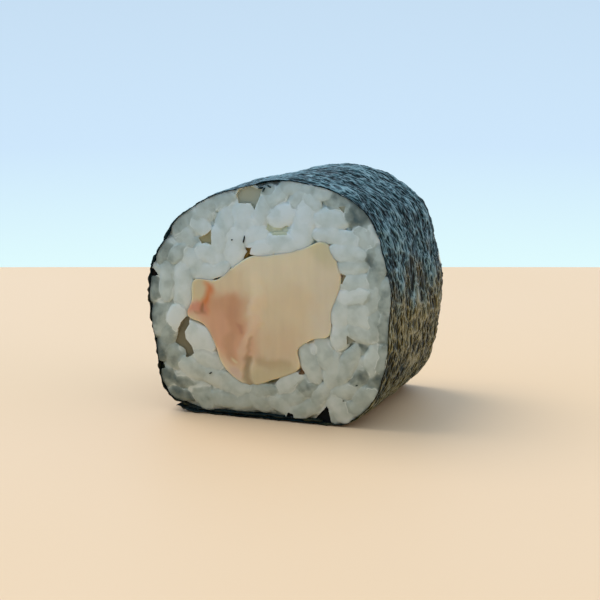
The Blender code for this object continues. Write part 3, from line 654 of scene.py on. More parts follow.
def nori_material():
    """Toasted nori, pressed from chopped seaweed and gone moist on the rice: near black in its pits, with
    painted reflection on its fibres, teal above for the sky and khaki below for the warm table, and a satin
    skin whose gloss and bloom at a glancing angle are teal."""
    material, tree, shader = new_material("toasted_nori")
    raised, cut = [
        add_node(tree, "ShaderNodeAttribute", attribute_name=name).outputs["Fac"]
        for name in ("relief", "cut")
    ]
    kept = add_node(tree, "ShaderNodeMath", [1.0, cut], operation="SUBTRACT")
    weave = add_node(tree, "ShaderNodeAttribute", attribute_name="weave").outputs["Vector"]
    detailed = raised
    for scale, width, weight in NORI_NETS:
        cells = add_node(
            tree, "ShaderNodeTexVoronoi", {"Vector": weave, "Scale": scale}, feature="DISTANCE_TO_EDGE"
        )
        strand = add_node(
            tree, "ShaderNodeMapRange",
            {"Value": cells, "From Min": 0.0, "From Max": width, "To Min": weight, "To Max": -weight},
        )
        detailed = add_node(tree, "ShaderNodeMath", [detailed, strand], operation="ADD", use_clamp=True)
    relief = add_node(tree, "ShaderNodeMath", [detailed, kept], operation="MULTIPLY")
    place = add_node(tree, "ShaderNodeTexCoord").outputs["Object"]
    height = add_node(tree, "ShaderNodeSeparateXYZ", [place]).outputs[2]
    # The cells of real nori are far finer than a pixel here, so the grit is drawn some ten times too coarse.
    blotch, grit = [
        add_node(tree, "ShaderNodeTexNoise", {"Vector": place, "Scale": 1.0 / size, "Detail": 3.0})
        for size in (NORI_BLOTCH, NORI_GRIT)
    ]
    stray = add_node(tree, "ShaderNodeMath", [blotch, TABLE_REFLECTION_STRAY, height], operation="MULTIPLY_ADD")
    shaded = add_node(
        tree, "ShaderNodeMapRange",
        {"Value": blotch, "From Min": 0.3, "From Max": 0.7, "To Min": -0.18, "To Max": 0.18},
    )
    varied = add_node(tree, "ShaderNodeMath", [relief, shaded], operation="ADD", use_clamp=True)
    # Painted reflection: teal for the sky reflected on the upper nori, khaki for the warm table reflected on
    # the lower. Both keep the near black of its pits.
    sky_reflection = add_node(
        tree, "ShaderNodeValToRGB", [varied],
        ((0.2, "#050c0f"), (0.42, "#0c1e24"), (0.6, "#1a3840"), (0.8, "#2f535c"), (1.0, "#5e8089")),
    )
    table_reflection = add_node(
        tree, "ShaderNodeValToRGB", [varied],
        ((0.2, "#120e03"), (0.42, "#2a250c"), (0.6, "#454019"), (0.8, "#5c552d"), (1.0, "#7f7950")),
    )
    # Painted reflection: the height, shifted by the blotches, picks which of the two is painted.
    share = add_node(
        tree, "ShaderNodeMapRange", {"Value": stray, "From Min": TABLE_REFLECTION_FROM, "From Max": TABLE_REFLECTION_FULL}
    )
    colour = add_node(tree, "ShaderNodeMix", {0: share, 6: sky_reflection, 7: table_reflection}, data_type="RGBA")
    rough = add_node(
        tree, "ShaderNodeMapRange",
        {"Value": relief, "From Min": 0.3, "From Max": 0.8, "To Min": 0.6, "To Max": 0.32},
    )
    bump = add_node(
        tree, "ShaderNodeBump", {"Height": grit, "Strength": 0.6, "Distance": 0.06 * MM}
    )
    ribs = add_node(
        tree, "ShaderNodeBump",
        {"Height": relief, "Strength": 0.7, "Distance": 0.15 * MM, "Normal": bump},
    )
    gloss = add_node(
        tree, "ShaderNodeValToRGB", [varied],
        ((0.3, "#08191f"), (0.6, "#6f9aa6"), (0.9, "#f0fbff")),
    )
    dress(shader, {
        "Base Color": colour, "Roughness": rough, "Normal": ribs, "Specular IOR Level": 0.3,
        "Specular Tint": gloss, "IOR": 1.45, "Sheen Weight": 0.34, "Sheen Roughness": 0.35,
        "Sheen Tint": linear("#5a9fb2"),
    })
    return material


def nori_base():
    """The sheet as a closed loft: one flat ring across it at each step, wound once round the roll."""
    half = ROLL_LENGTH / 2 - NORI_TRIM
    outside = np.linspace(-1.0, 1.0, SHEET_ROWS_OUTSIDE + 1)
    inside = np.linspace(1.0, -1.0, SHEET_ROWS_INSIDE + 1)
    ring_share = np.concatenate([outside, inside])
    ring_depth = np.concatenate([np.zeros(len(outside)), np.full(len(inside), NORI_THICKNESS)])
    ring_depth[np.abs(ring_share) == 1.0] *= EDGE_THIN
    last = TURN_STEPS + OVERLAP_STEPS + FLAP_REACH
    fine_steps = np.arange(int(last * SHEET_FINENESS) + 1) / SHEET_FINENESS
    uneven = np.random.default_rng(EDGE_SEED).normal(0.0, EDGE_WANDER, len(fine_steps) + 2)
    ragged = np.convolve(uneven, EDGE_SMOOTHING, "valid")
    step = np.repeat(fine_steps, len(ring_share))
    share = np.tile(ring_share, len(fine_steps))
    depth = np.tile(ring_depth, len(fine_steps))
    y = share * half + np.repeat(ragged, len(ring_share)) * share**EDGE_POWER
    lift = FLAP_LIFT * smooth_step((step - last + FLAP_STEPS) / FLAP_STEPS)
    places = settled(wrap_points(step, y, sheet_inset(step) + depth - lift))
    bm = bmesh.new()
    rows = tube(bm, places.reshape(len(fine_steps), -1, 3))
    for row in (rows[0], rows[-1]):
        bm.faces.new(row)
    bmesh.ops.recalc_face_normals(bm, faces=bm.faces)
    nori = new_object("nori_wrap_sheet", bm)
    girth = np.hypot(*(np.roll(WRAP_OUTLINE, -1, axis=0) - WRAP_OUTLINE).T).sum()
    store(nori.data, "sheet", np.stack([step / TURN_STEPS * girth, y, depth], axis=1), "FLOAT_VECTOR")
    index = np.round(step * SHEET_FINENESS).astype(int) % len(WRAP_OUTLINE)
    out = -WRAP_INWARD[index]
    store(nori.data, "outward", np.stack([out[:, 0], np.zeros_like(y), out[:, 1]], axis=1), "FLOAT_VECTOR")
    inland = LUMP_AT_CUT + (1.0 - LUMP_AT_CUT) * smooth_step((1.0 - np.abs(share)) / LUMP_FREE_FROM)
    store(nori.data, "free", smooth_step(places[:, 2] / FLAT_FADE) * inland)
    store(nori.data, "cut", np.where((np.abs(share) == 1.0) | (depth > 0.0), EDGE_CUT, 0.0))
    return nori


def nori_tree(material):
    """Fibres that run round the roll: ridges and pits in the sheet's own coordinates, raised along its
    outward direction. Where the roll rests on the floor they only sink in."""
    tree, given = new_tree(
        "nori_fibres",
        {
            "Relief": "Float", "Streak Length": "Float", "Streak Spacing": "Float", "Streak Wander": "Float",
            "Lump Size": "Float", "Lump Height": "Float", "Thickness": "Float", "Seed": "Float",
        },
    )
    sheet, outward = [
        add_node(tree, "GeometryNodeInputNamedAttribute", {"Name": name}, data_type="FLOAT_VECTOR")
        for name in ("sheet", "outward")
    ]
    free = add_node(tree, "GeometryNodeInputNamedAttribute", {"Name": "free"}, data_type="FLOAT")
    flat = add_node(tree, "ShaderNodeSeparateXYZ", [sheet]).outputs
    grain = add_node(
        tree, "ShaderNodeCombineXYZ", [given["Streak Length"], given["Streak Spacing"], 1.0]
    )
    even = add_node(tree, "ShaderNodeVectorMath", [sheet, grain], operation="DIVIDE")
    seeded = add_node(tree, "ShaderNodeCombineXYZ", [0.0, 0.0, given["Seed"]])
    spot = add_node(tree, "ShaderNodeVectorMath", [even, seeded], operation="ADD")
    bend = add_node(tree, "ShaderNodeTexNoise", {"Vector": spot, "Scale": 0.4, "Detail": 1.0})
    centred = add_node(
        tree, "ShaderNodeVectorMath", [bend.outputs["Color"], (0.5, 0.5, 0.5)], operation="SUBTRACT"
    )
    shift = add_node(
        tree, "ShaderNodeVectorMath", {0: centred, "Scale": given["Streak Wander"]}, operation="SCALE"
    )
    bent = add_node(tree, "ShaderNodeVectorMath", [spot, shift], operation="ADD")
    total = None
    for along_scale, across_scale, detail, weight in NORI_LAYERS:
        scaled = add_node(
            tree, "ShaderNodeVectorMath", [bent, (along_scale, across_scale, along_scale + 0.7)],
            operation="MULTIPLY",
        )
        noise = add_node(tree, "ShaderNodeTexNoise", {"Vector": scaled, "Scale": 1.0, "Detail": detail})
        layer = add_node(
            tree, "ShaderNodeMapRange",
            {"Value": noise, "From Min": 0.3, "From Max": 0.7, "To Min": -weight, "To Max": weight},
            clamp=False,
        )
        total = add_node(tree, "ShaderNodeMath", [total, layer], operation="ADD") if total else layer
    cells = add_node(
        tree, "ShaderNodeTexVoronoi", {"Vector": bent, "Scale": 1.0}, feature="DISTANCE_TO_EDGE"
    )
    net = add_node(
        tree, "ShaderNodeMapRange",
        {"Value": cells, "From Min": 0.0, "From Max": 0.32, "To Min": 0.75, "To Max": 0.25},
    )
    height = add_node(tree, "ShaderNodeMath", [total, net], operation="ADD", use_clamp=True)
    size = add_node(tree, "ShaderNodeMath", [1.0, given["Lump Size"]], operation="DIVIDE")
    lump_spot = add_node(tree, "ShaderNodeVectorMath", {0: sheet, "Scale": size}, operation="SCALE")
    lump = add_node(tree, "ShaderNodeTexNoise", {"Vector": lump_spot, "Scale": 1.0, "Detail": 1.0})
    middle = add_node(tree, "ShaderNodeMapRange", {"Value": free, "To Min": 1.0, "To Max": 0.55})
    raised = add_node(tree, "ShaderNodeMath", [height, middle], operation="SUBTRACT")
    ridges = add_node(tree, "ShaderNodeMath", [raised, given["Relief"]], operation="MULTIPLY")
    skin = add_node(tree, "ShaderNodeMath", [flat[2], given["Thickness"]], operation="DIVIDE")
    outer = add_node(tree, "ShaderNodeMath", [1.0, skin], operation="SUBTRACT", use_clamp=True)
    shown = add_node(tree, "ShaderNodeMath", [ridges, outer], operation="MULTIPLY")
    swell = add_node(tree, "ShaderNodeMath", [lump, 0.38], operation="SUBTRACT", use_clamp=True)
    tall = add_node(tree, "ShaderNodeMath", [swell, given["Lump Height"]], operation="MULTIPLY")
    lift = add_node(tree, "ShaderNodeMath", [tall, free, shown], operation="MULTIPLY_ADD")
    offset = add_node(tree, "ShaderNodeVectorMath", {0: outward, "Scale": lift}, operation="SCALE")
    kept = add_node(
        tree, "GeometryNodeStoreNamedAttribute",
        {"Geometry": given["Geometry"], "Name": "relief", "Value": height}, data_type="FLOAT",
    )
    woven = add_node(
        tree, "GeometryNodeStoreNamedAttribute",
        {"Geometry": kept, "Name": "weave", "Value": bent}, data_type="FLOAT_VECTOR",
    )
    moved = add_node(tree, "GeometryNodeSetPosition", {"Geometry": woven, "Offset": offset})
    smooth = add_node(tree, "GeometryNodeSetShadeSmooth", {"Geometry": moved})
    return finish_tree(tree, smooth, material)


def make_nori(material):
    """The sheet with its relief, which nowhere reaches below the floor."""
    nori = grow(
        nori_base(), nori_tree(material),
        {
            "Relief": 0.42 * MM, "Streak Length": 2.0 * MM, "Streak Spacing": 0.95 * MM,
            "Streak Wander": 2.4, "Lump Size": 5.0 * MM, "Lump Height": 0.8 * MM,
            "Thickness": NORI_THICKNESS, "Seed": 5.0,
        },
    )
    places = places_of(nori.data)
    places[:, 2] = np.maximum(places[:, 2], 0.0)
    set_places(nori.data, places)
    nori.data.set_sharp_from_angle(angle=NORI_SHARP)
    finish_piece(nori, "nori_wrap")


def make_scraps(material):
    """Thin ragged flakes that torn nori left on the front cut."""
    rng = np.random.default_rng(SCRAP_SEED)
    bm = bmesh.new()
    for x, z, length, width, turn, behind in SCRAPS:
        angles = np.linspace(0.0, 2.0 * math.pi, SCRAP_POINTS, endpoint=False)
        reach = rng.uniform(*SCRAP_RAGGED, SCRAP_POINTS) * MM / 2
        along, across = np.cos(angles) * reach * length, np.sin(angles) * reach * width
        cos, sin = math.cos(math.radians(turn)), math.sin(math.radians(turn))
        y = np.full(SCRAP_POINTS, behind * MM - ROLL_LENGTH / 2 - SCRAP_THICKNESS / 2)
        flake_x = x * MM + along * cos - across * sin
        flake_z = z * MM + along * sin + across * cos
        flake = np.stack([flake_x, y, flake_z], axis=1)
        rows = tube(bm, (flake, flake + (0.0, SCRAP_THICKNESS, 0.0)))
        for row in rows:
            bm.faces.new(row)
    bmesh.ops.recalc_face_normals(bm, faces=bm.faces)
    scraps = new_object("nori_scraps", bm)
    scraps.data.materials.append(material)
    set_places(scraps.data, settled(places_of(scraps.data)))
    store(scraps.data, "relief", rng.uniform(*SCRAP_RELIEF, len(scraps.data.vertices)))
    store(scraps.data, "weave", places_of(scraps.data) / MM, "FLOAT_VECTOR")
    store(scraps.data, "cut", np.zeros(len(scraps.data.vertices)))
    finish_piece(scraps, None)


# ---------------------------------------------------------------- rice

def rice_material():
    """Steamed short-grain rice with a little vinegar: pearly, translucent starch under a moist skin. Light
    goes in and softens the shade between the grains. A whiter grain ends in a thin painted highlight where it
    lies over a clearer one, and the clearer one takes a little painted shade just past it. Deep in its gaps
    and pockets the rice is painted in the tone of the shade there. Painted light makes it cooler towards the
    top, and warmer and a little darker towards the table."""
    material, tree, shader = new_material("cooked_rice")
    place = add_node(tree, "ShaderNodeTexCoord").outputs["Object"]
    grain = add_node(tree, "ShaderNodeAttribute", attribute_name="grain").outputs["Vector"]
    clear, lead, signed = add_node(tree, "ShaderNodeSeparateXYZ", [grain]).outputs
    contrast = add_node(tree, "ShaderNodeAttribute", attribute_name="contrast").outputs["Fac"]
    hollow_shade = add_node(tree, "ShaderNodeAttribute", attribute_name="hollow_shade").outputs
    # The skin of a real grain is nearly smooth, so its unevenness is drawn coarser than it is.
    noises = ((RICE_CLOUD, 4.0), (RICE_SOAKED, 2.0), (RICE_RIM_PATCH, 1.0), (RICE_SKIN, 3.0))
    cloud, wet, patch, skin = [
        add_node(tree, "ShaderNodeTexNoise", {"Vector": place, "Scale": 1.0 / size, "Detail": detail})
        for size, detail in noises
    ]
    drift = add_node(
        tree, "ShaderNodeMapRange",
        {"Value": cloud, "From Min": 0.3, "From Max": 0.7, "To Min": -0.17, "To Max": 0.13},
    )
    soaked = add_node(
        tree, "ShaderNodeMapRange", {"Value": wet, "From Min": 0.52, "From Max": 0.6, "To Max": 0.13}
    )
    drifted = add_node(tree, "ShaderNodeMath", [clear, drift], operation="ADD")
    mixed = add_node(tree, "ShaderNodeMath", [drifted, soaked], operation="ADD", use_clamp=True)
    tone = add_node(
        tree, "ShaderNodeValToRGB", [mixed],
        ((0.0, "#f0f4f3"), (0.3, "#dde4e0"), (0.6, "#c1cac4"), (0.85, "#88928d"), (1.0, "#5f7173")),
    )
    # Painted highlight: a thin pale line where a whiter grain lies over a clearer one, in patches along the
    # edge that catch the light.
    lit_patches = add_node(tree, "ShaderNodeMapRange", {"Value": patch, "From Min": 0.4, "From Max": 0.58})
    near_edge = add_node(tree, "ShaderNodeMapRange", {"Value": lead, "From Min": 0.4, "From Max": 0.2})
    differing = add_node(tree, "ShaderNodeMapRange", {"Value": contrast, "From Min": 0.05, "From Max": 0.3})
    edge = add_node(tree, "ShaderNodeMath", [near_edge, differing], operation="MULTIPLY")
    off_line = add_node(tree, "ShaderNodeMath", [signed, 0.06], operation="SUBTRACT")
    from_line = add_node(tree, "ShaderNodeMath", [off_line], operation="ABSOLUTE")
    line = add_node(tree, "ShaderNodeMapRange", {"Value": from_line, "From Min": 0.08, "From Max": 0.03})
    pale = add_node(tree, "ShaderNodeMath", [line, edge], operation="MULTIPLY")
    rim = add_node(tree, "ShaderNodeMath", [pale, lit_patches], operation="MULTIPLY")
    # Painted shade on the clearer grain, just past the edge of the whiter grain that lies over it.
    beneath = add_node(
        tree, "ShaderNodeMapRange", {"Value": signed, "From Min": 0.0, "From Max": -0.08, "To Max": 0.22}
    )
    shade = add_node(tree, "ShaderNodeMath", [beneath, edge], operation="MULTIPLY")
    shaded = add_node(
        tree, "ShaderNodeMix", {0: shade, 6: tone, 7: linear("#8d958a")}, data_type="RGBA"
    )
    faint = add_node(tree, "ShaderNodeMath", [rim, 0.6], operation="MULTIPLY")
    highlighted = add_node(
        tree, "ShaderNodeMix", {0: faint, 6: shaded, 7: linear("#fbfcf9")}, data_type="RGBA"
    )
    # Painted shade: deep in the gaps and in the pockets, the tone of the shade there covers the rice.
    filled = add_node(
        tree, "ShaderNodeMix", {0: hollow_shade["Alpha"], 6: highlighted, 7: hollow_shade["Color"]}, data_type="RGBA"
    )
    # Painted light: the rice is cooler towards the top, as if lit by the sky, and warmer and a little darker
    # towards the table, as if from its bounce and shade.
    height = add_node(tree, "ShaderNodeSeparateXYZ", [place]).outputs[2]
    level = add_node(tree, "ShaderNodeMapRange", {"Value": height, "From Max": ROLL_HEIGHT})
    painted_light = add_node(
        tree, "ShaderNodeValToRGB", [level], ((0.0, "#dbd8ca"), (0.45, "#e5eae7"), (1.0, "#dff0fa"))
    )
    colour = add_node(
        tree, "ShaderNodeMix", {0: 1.0, 6: filled, 7: painted_light}, data_type="RGBA", blend_type="MULTIPLY"
    )
    bump = add_node(tree, "ShaderNodeBump", {"Height": skin, "Strength": 0.35, "Distance": 0.07 * MM})
    rough = add_node(tree, "ShaderNodeMapRange", {"Value": hollow_shade["Alpha"], "To Min": 0.34, "To Max": 0.9})
    dress(shader, {
        "Base Color": colour, "Normal": bump, "Roughness": rough, "IOR": 1.4, "Subsurface Weight": 1.0,
        "Subsurface Radius": (1.0, 0.95, 0.85), "Subsurface Scale": 0.8 * MM,
    })
    return material


def grain_shapes():
    """Coarse cages of a few rice grains of unit size, with their length along Z: a little bent, with the
    nick at one end where the germ was."""
    rng = np.random.default_rng(GRAIN_SHAPE_SEED)
    shapes = bpy.data.collections.new("grain_shapes")
    for number in range(GRAIN_SHAPES):
        bm = bmesh.new()
        bmesh.ops.create_uvsphere(bm, u_segments=8, v_segments=6, radius=CAGE_SWELL)
        bend, taper = rng.uniform(-CAGE_BEND, CAGE_BEND), rng.uniform(-CAGE_BEND, CAGE_BEND)
        nick = Vector((rng.choice((-NICK_SIDE, NICK_SIDE)), 0.0, NICK_ALONG)).normalized()
        for vert in bm.verts:
            dent = NICK_DEPTH * math.exp(-((vert.co - nick).length / NICK_REACH) ** 2)
            x, y, z = vert.co * (1.0 - dent)
            girth = (1.0 + taper * z) * (1.0 + CAGE_BULGE * abs(z) * (CAGE_SWELL - abs(z)))
            vert.co = (x * girth + bend * (z * z - CAGE_BEND_FROM), y * girth, z)
        mesh = bpy.data.meshes.new(f"grain_shape_{number}")
        bm.to_mesh(mesh)
        bm.free()
        shapes.objects.link(bpy.data.objects.new(f"grain_shape_{number}", mesh))
    return shapes


def rice_core():
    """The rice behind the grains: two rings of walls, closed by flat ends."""
    half = ROLL_LENGTH / 2 - CORE_SETBACK
    rows = np.linspace(-half, half, CORE_ROWS + 1)
    bm = bmesh.new()
    outside = tube(bm, [[(x, y, z) for x, z in rice_outline(y, 0.0)] for y in rows])
    tunnel = tube(bm, [[(x, y, z) for x, z in fish_section(y, FISH_PRESS)[::4]] for y in rows])
    for end in (0, -1):
        bmesh.ops.triangle_fill(bm, use_beauty=True, edges=rim(bm, outside[end]) + rim(bm, tunnel[end]))
    bmesh.ops.recalc_face_normals(bm, faces=bm.faces)
    return new_object("rice_grains", bm)


def grain_layers():
    """The grains of the two cut faces, and behind each the grains that close the spaces between them: the
    side, the seed, the grains that are given, and how far they stand past the knife's plane."""
    return (
        (-1, FRONT_SEED, [row[:5] for row in SHOWN_GRAINS], GRAIN_PROUD),
        (1, BACK_SEED, (), GRAIN_PROUD),
        (-1, FRONT_SEED + FILL_SEED, (), FILL_PROUD),
        (1, BACK_SEED + FILL_SEED, (), FILL_PROUD),
    )


def grain_places():
    """For each grain its middle, the turn of its long axis, its half sizes and how clear it is."""
    grains = []
    half = ROLL_LENGTH / 2
    for side, seed, fixed, proud in grain_layers():
        wall = rice_outline(side * half, -2.0 * RICE_PRESS)
        hole = fish_section(side * half, 0.0 if fixed else CLEARANCE)
        wall, hole = (wall, inward(wall)), (hole, inward(hole))
        rng, looks = np.random.default_rng(seed), np.random.default_rng(seed + 1)
        rows = pack_grains(rng, fixed, wall, hole)
        for number, row in enumerate(rows):
            row = fitted(row, wall, hole)
            clear, tilt = looks.beta(*CLEARNESS), looks.uniform(-GRAIN_TILT, GRAIN_TILT)
            if row is None:
                continue
            if number < len(fixed):
                clear = SHOWN_GRAINS[number][5] / 10.0
            sunk = (proud[1] - proud[0]) * min(clear * CLEAR_GRAINS_SINK, 1.0)
            stand = proud[1] - sunk + looks.normal(0.0, GRAIN_STEP)
            x, z, length, width, turn = row
            thick = width * GRAIN_FLATNESS * GRAIN_SWELL
            middle = (x, side * (half + stand - thick / 2), z)
            swollen = (width * GRAIN_SWELL / 2, thick / 2, length * GRAIN_SWELL / 2)
            grains.append((middle, (tilt, math.radians(90) - turn, 0.0), swollen, clear))
    return [np.array(column) for column in zip(*grains)]


def rice_tree(material):
    """Sets a grain on each place, joins all of them with the core, and lets the knife flatten them."""
    tree, given = new_tree(
        "rice_heap",
        {
            "Grain Places": "Object", "Grain Shapes": "Collection", "Fineness": "Int", "Stickiness": "Int",
            "Knife Plane": "Float", "Knife Softness": "Float", "Lump Size": "Float", "Lump Height": "Float",
            "Pockets": "Object",
        },
    )
    places = add_node(tree, "GeometryNodeObjectInfo", {"Object": given["Grain Places"]})
    shapes = add_node(
        tree, "GeometryNodeCollectionInfo",
        {"Collection": given["Grain Shapes"], "Separate Children": True, "Reset Children": True},
    )
    fine = add_node(tree, "GeometryNodeSubdivisionSurface", {"Mesh": shapes, "Level": given["Fineness"]})
    turn, size = [
        add_node(tree, "GeometryNodeInputNamedAttribute", {"Name": name}, data_type="FLOAT_VECTOR")
        for name in ("turn", "size")
    ]
    lie = add_node(tree, "FunctionNodeEulerToRotation", [turn])
    grains = add_node(
        tree, "GeometryNodeInstanceOnPoints",
        {
            "Points": places.outputs["Geometry"], "Instance": fine, "Pick Instance": True,
            "Rotation": lie, "Scale": size,
        },
    )
    joined = add_node(
        tree, "GeometryNodeMeshBoolean", {"Mesh 2": given["Geometry"]}, operation="UNION", solver="MANIFOLD"
    )
    tree.links.new(grains.outputs[0], joined.inputs["Mesh 2"])
    place = add_node(tree, "GeometryNodeInputPosition")
    sticky = add_node(
        tree, "GeometryNodeBlurAttribute", {"Value": place, "Iterations": given["Stickiness"]},
        data_type="FLOAT_VECTOR",
    )
    fused = add_node(tree, "GeometryNodeSetPosition", {"Geometry": joined, "Position": sticky})
    scaled = add_node(tree, "ShaderNodeVectorMath", [place, given["Lump Size"]], operation="DIVIDE")
    noise = add_node(tree, "ShaderNodeTexNoise", {"Vector": scaled, "Scale": 1.0, "Detail": 2.0})
    centred = add_node(
        tree, "ShaderNodeVectorMath", [noise.outputs["Color"], (0.5, 0.5, 0.5)], operation="SUBTRACT"
    )
    lumps = add_node(
        tree, "ShaderNodeVectorMath", {0: centred, "Scale": given["Lump Height"]}, operation="SCALE"
    )
    lumpy = add_node(tree, "GeometryNodeSetPosition", {"Geometry": fused, "Offset": lumps})
    along = add_node(tree, "ShaderNodeSeparateXYZ", [place]).outputs[1]
    soft = given["Knife Softness"]
    start = add_node(tree, "ShaderNodeMath", [given["Knife Plane"], soft], operation="SUBTRACT")
    reach = add_node(tree, "ShaderNodeMath", [along], operation="ABSOLUTE")
    over = add_node(tree, "ShaderNodeMath", [reach, start], operation="SUBTRACT")
    past = add_node(tree, "ShaderNodeMath", [over, 0.0], operation="MAXIMUM")
    share = add_node(tree, "ShaderNodeMath", [past, soft], operation="DIVIDE")
    # Past the start, a place x beyond it comes to rest at soft * x / (x + soft), short of the knife's plane.
    room = add_node(tree, "ShaderNodeMath", [share, 1.0], operation="ADD")
    lost = add_node(tree, "ShaderNodeMath", [share, room], operation="DIVIDE")
    cut = add_node(tree, "ShaderNodeMath", [lost, past], operation="MULTIPLY")
    side = add_node(tree, "ShaderNodeMath", [along], operation="SIGN")
    inwards = add_node(tree, "ShaderNodeMath", [side, -1.0], operation="MULTIPLY")
    push = add_node(tree, "ShaderNodeMath", [cut, inwards], operation="MULTIPLY")
    shift = add_node(tree, "ShaderNodeCombineXYZ", [0.0, push, 0.0])
    sliced = add_node(tree, "GeometryNodeSetPosition", {"Geometry": lumpy, "Offset": shift})
    pockets = add_node(tree, "GeometryNodeObjectInfo", {"Object": given["Pockets"]})
    hollowed = add_node(
        tree, "GeometryNodeMeshBoolean", {"Mesh 1": sliced, "Mesh 2": pockets.outputs["Geometry"]},
        operation="DIFFERENCE", solver="MANIFOLD",
    )
    split = add_node(tree, "GeometryNodeTriangulate", {"Mesh": hollowed.outputs["Mesh"]})
    smooth = add_node(tree, "GeometryNodeSetShadeSmooth", {"Geometry": split})
    return finish_tree(tree, smooth, material)


def strayed(section, wander):
    """Places in a section, moved a little this way and that: how far, and over what length."""
    bend, pace = WANDER_BEND
    for number, (reach, length) in enumerate(wander):
        turns = section[:, ::-1] / length * 2.0 * math.pi + number
        section = section + reach * np.sin(turns + bend * np.sin(pace * turns[:, ::-1]))
    return section


def grain_looks(places, centres, turns, sizes, clears):
    """For each place how clear the rice is, how much nearer the nearest grain is than the next one, as a
    share of a grain's half size, and how much clearer that next one is."""
    first, other = np.zeros(len(places), int), np.zeros(len(places), int)
    least, second = np.full(len(places), NO_GRAIN), np.full(len(places), NO_GRAIN)
    tone, total = np.zeros(len(places)), np.full(len(places), LEAST_WEIGHT)
    for number, (centre, turn, size) in enumerate(zip(centres, turns, sizes)):
        near = np.flatnonzero(((places - centre) ** 2).sum(axis=1) < (NEAR_GRAIN * size[2]) ** 2)
        lie = np.array(Matrix.Rotation(turn[1], 3, "Y") @ Matrix.Rotation(turn[0], 3, "X"))
        reach = np.sqrt(((((places[near] - centre) @ lie) / size) ** 2).sum(axis=1))
        weight = np.exp(-TONE_BLEND * reach)
        tone[near] += weight * clears[number]
        total[near] += weight
        closer, runner_up = reach < least[near], (reach >= least[near]) & (reach < second[near])
        won, placed = near[closer], near[runner_up]
        second[won], other[won] = least[won], first[won]
        least[won], first[won] = reach[closer], number
        second[placed], other[placed] = reach[runner_up], number
    return tone / total, second - least, clears[other] - clears[first]


def inside_outline(places, outline):
    """Which places, as X and Z, are inside a closed outline."""
    x, z = places.T
    inside = np.zeros(len(places), bool)
    for (near_x, near_z), (far_x, far_z) in zip(outline, np.roll(outline, -1, axis=0)):
        spans = (near_z > z) != (far_z > z)
        crossing = near_x + (z - near_z) * (far_x - near_x) / (far_z - near_z + NO_ZERO)
        inside ^= spans & (x < crossing)
    return inside


def mark_grains(mesh, centres, turns, sizes, clears):
    """Gives each vertex how clear its grain is and how far it is from where the next grain begins, and each
    face corner the painted shade of the gap or pocket that it lies in. The lead counts as negative on the
    clearer grain."""
    places = places_of(mesh)
    places[:, ::2] = strayed(places[:, ::2], RICE_WANDER)
    tone, lead, beyond = grain_looks(places, centres, turns, sizes, clears)
    store(mesh, "grain", np.stack([tone, lead, lead * np.sign(beyond)], axis=1), "FLOAT_VECTOR")
    store(mesh, "contrast", np.abs(beyond))
    corner = np.zeros(len(mesh.loops), int)
    mesh.loops.foreach_get("vertex_index", corner)
    counts, middles = np.zeros(len(mesh.polygons), int), np.zeros(len(mesh.polygons) * 3)
    mesh.polygons.foreach_get("loop_total", counts)
    mesh.polygons.foreach_get("center", middles)
    middles = middles.reshape(-1, 3)
    face = np.repeat(np.arange(len(counts)), counts)
    # Painted shade: the deeper a place lies behind the cut, the more it takes the shade of the gaps, and
    # pocket faces take their pocket's shade.
    behind = ROLL_LENGTH / 2 - np.abs(places[:, 1])
    cover = SINK_MOST * smooth_step((behind - SINK_FROM) / SINK_OVER)[corner]
    hollow_shade = np.tile(linear(GAP_TONE), (len(corner), 1))
    depth = ROLL_LENGTH / 2 + middles[:, 1]
    for _, pocket_shade, corners in POCKETS:
        outline = np.array(corners) * MM
        centre = outline.mean(axis=0)
        outward = outline - centre
        outline = outline + outward / np.hypot(*outward.T)[:, None] * POCKET_LIP
        within = inside_outline(middles[:, ::2], outline) & (depth > POCKET_LIP) & (depth < POCKET_DEEPEST)
        hollow_shade[within[face]] = linear(pocket_shade)
        cover[within[face]] = 1.0
    hollow_shade[:, 3] = cover
    store(mesh, "hollow_shade", hollow_shade, "FLOAT_COLOR", "CORNER")


def nearest_on(outline, places):
    """The index of the nearest station of an outline for each place."""
    tree = KDTree(len(outline))
    for index, (x, z) in enumerate(outline):
        tree.insert((x, 0.0, z), index)
    tree.balance()
    return np.array([tree.find((x, 0.0, z))[1] for x, _, z in places], int)


def press_rice(places):
    """Pushes rice that would pass through the nori or lie on the fish back to its edge. At the cuts the
    rice sticks to both where it comes near, and bulges a little over their edges."""
    half = ROLL_LENGTH / 2
    over = smooth_step((np.abs(places[:, 1]) - half + RICE_STICK) / RICE_TURN)
    nearest = nearest_on(WRAP_OUTLINE, places)
    step, place, into = nearest / SHEET_FINENESS, WRAP_OUTLINE[nearest], WRAP_INWARD[nearest]
    least = sheet_inset(step) + NORI_THICKNESS + ripple(step, places[:, 1], place[:, 1]) - over * RICE_PRESS
    spare = ((places[:, ::2] - place) * into).sum(axis=1) - least
    stuck = np.where(spare > 0.0, spare * smooth_step(1.0 - spare / RICE_STICK) * over, spare)
    places[:, ::2] -= into * stuck[:, None]
    for side in (-1, 1):
        outline = fish_section(side * half, 0.0)
        picked = np.flatnonzero((over > 0.0) & (places[:, 1] * side > 0.0))
        nearest = nearest_on(outline, places[picked])
        into = inward(outline)[nearest]
        spare = RICE_LAP - ((places[picked, ::2] - outline[nearest]) * into).sum(axis=1)
        stuck = np.where(spare > 0.0, spare * smooth_step(1.0 - spare / RICE_STICK), spare) * over[picked]
        places[picked, ::2] += into * stuck[:, None]
    return places


def pocket_cutters():
    """A prism for each pocket, from in front of the cut to the pocket's floor."""
    bm = bmesh.new()
    for deep, _, corners in POCKETS:
        outline = np.array(corners) * MM
        ends = (-ROLL_LENGTH / 2 - POCKET_START, -ROLL_LENGTH / 2 + deep * MM)
        rows = tube(bm, [[(x, y, z) for x, z in outline] for y in ends])
        for row in rows:
            bm.faces.new(row)
    bmesh.ops.recalc_face_normals(bm, faces=bm.faces)
    return new_object("pocket_cutters", bm)


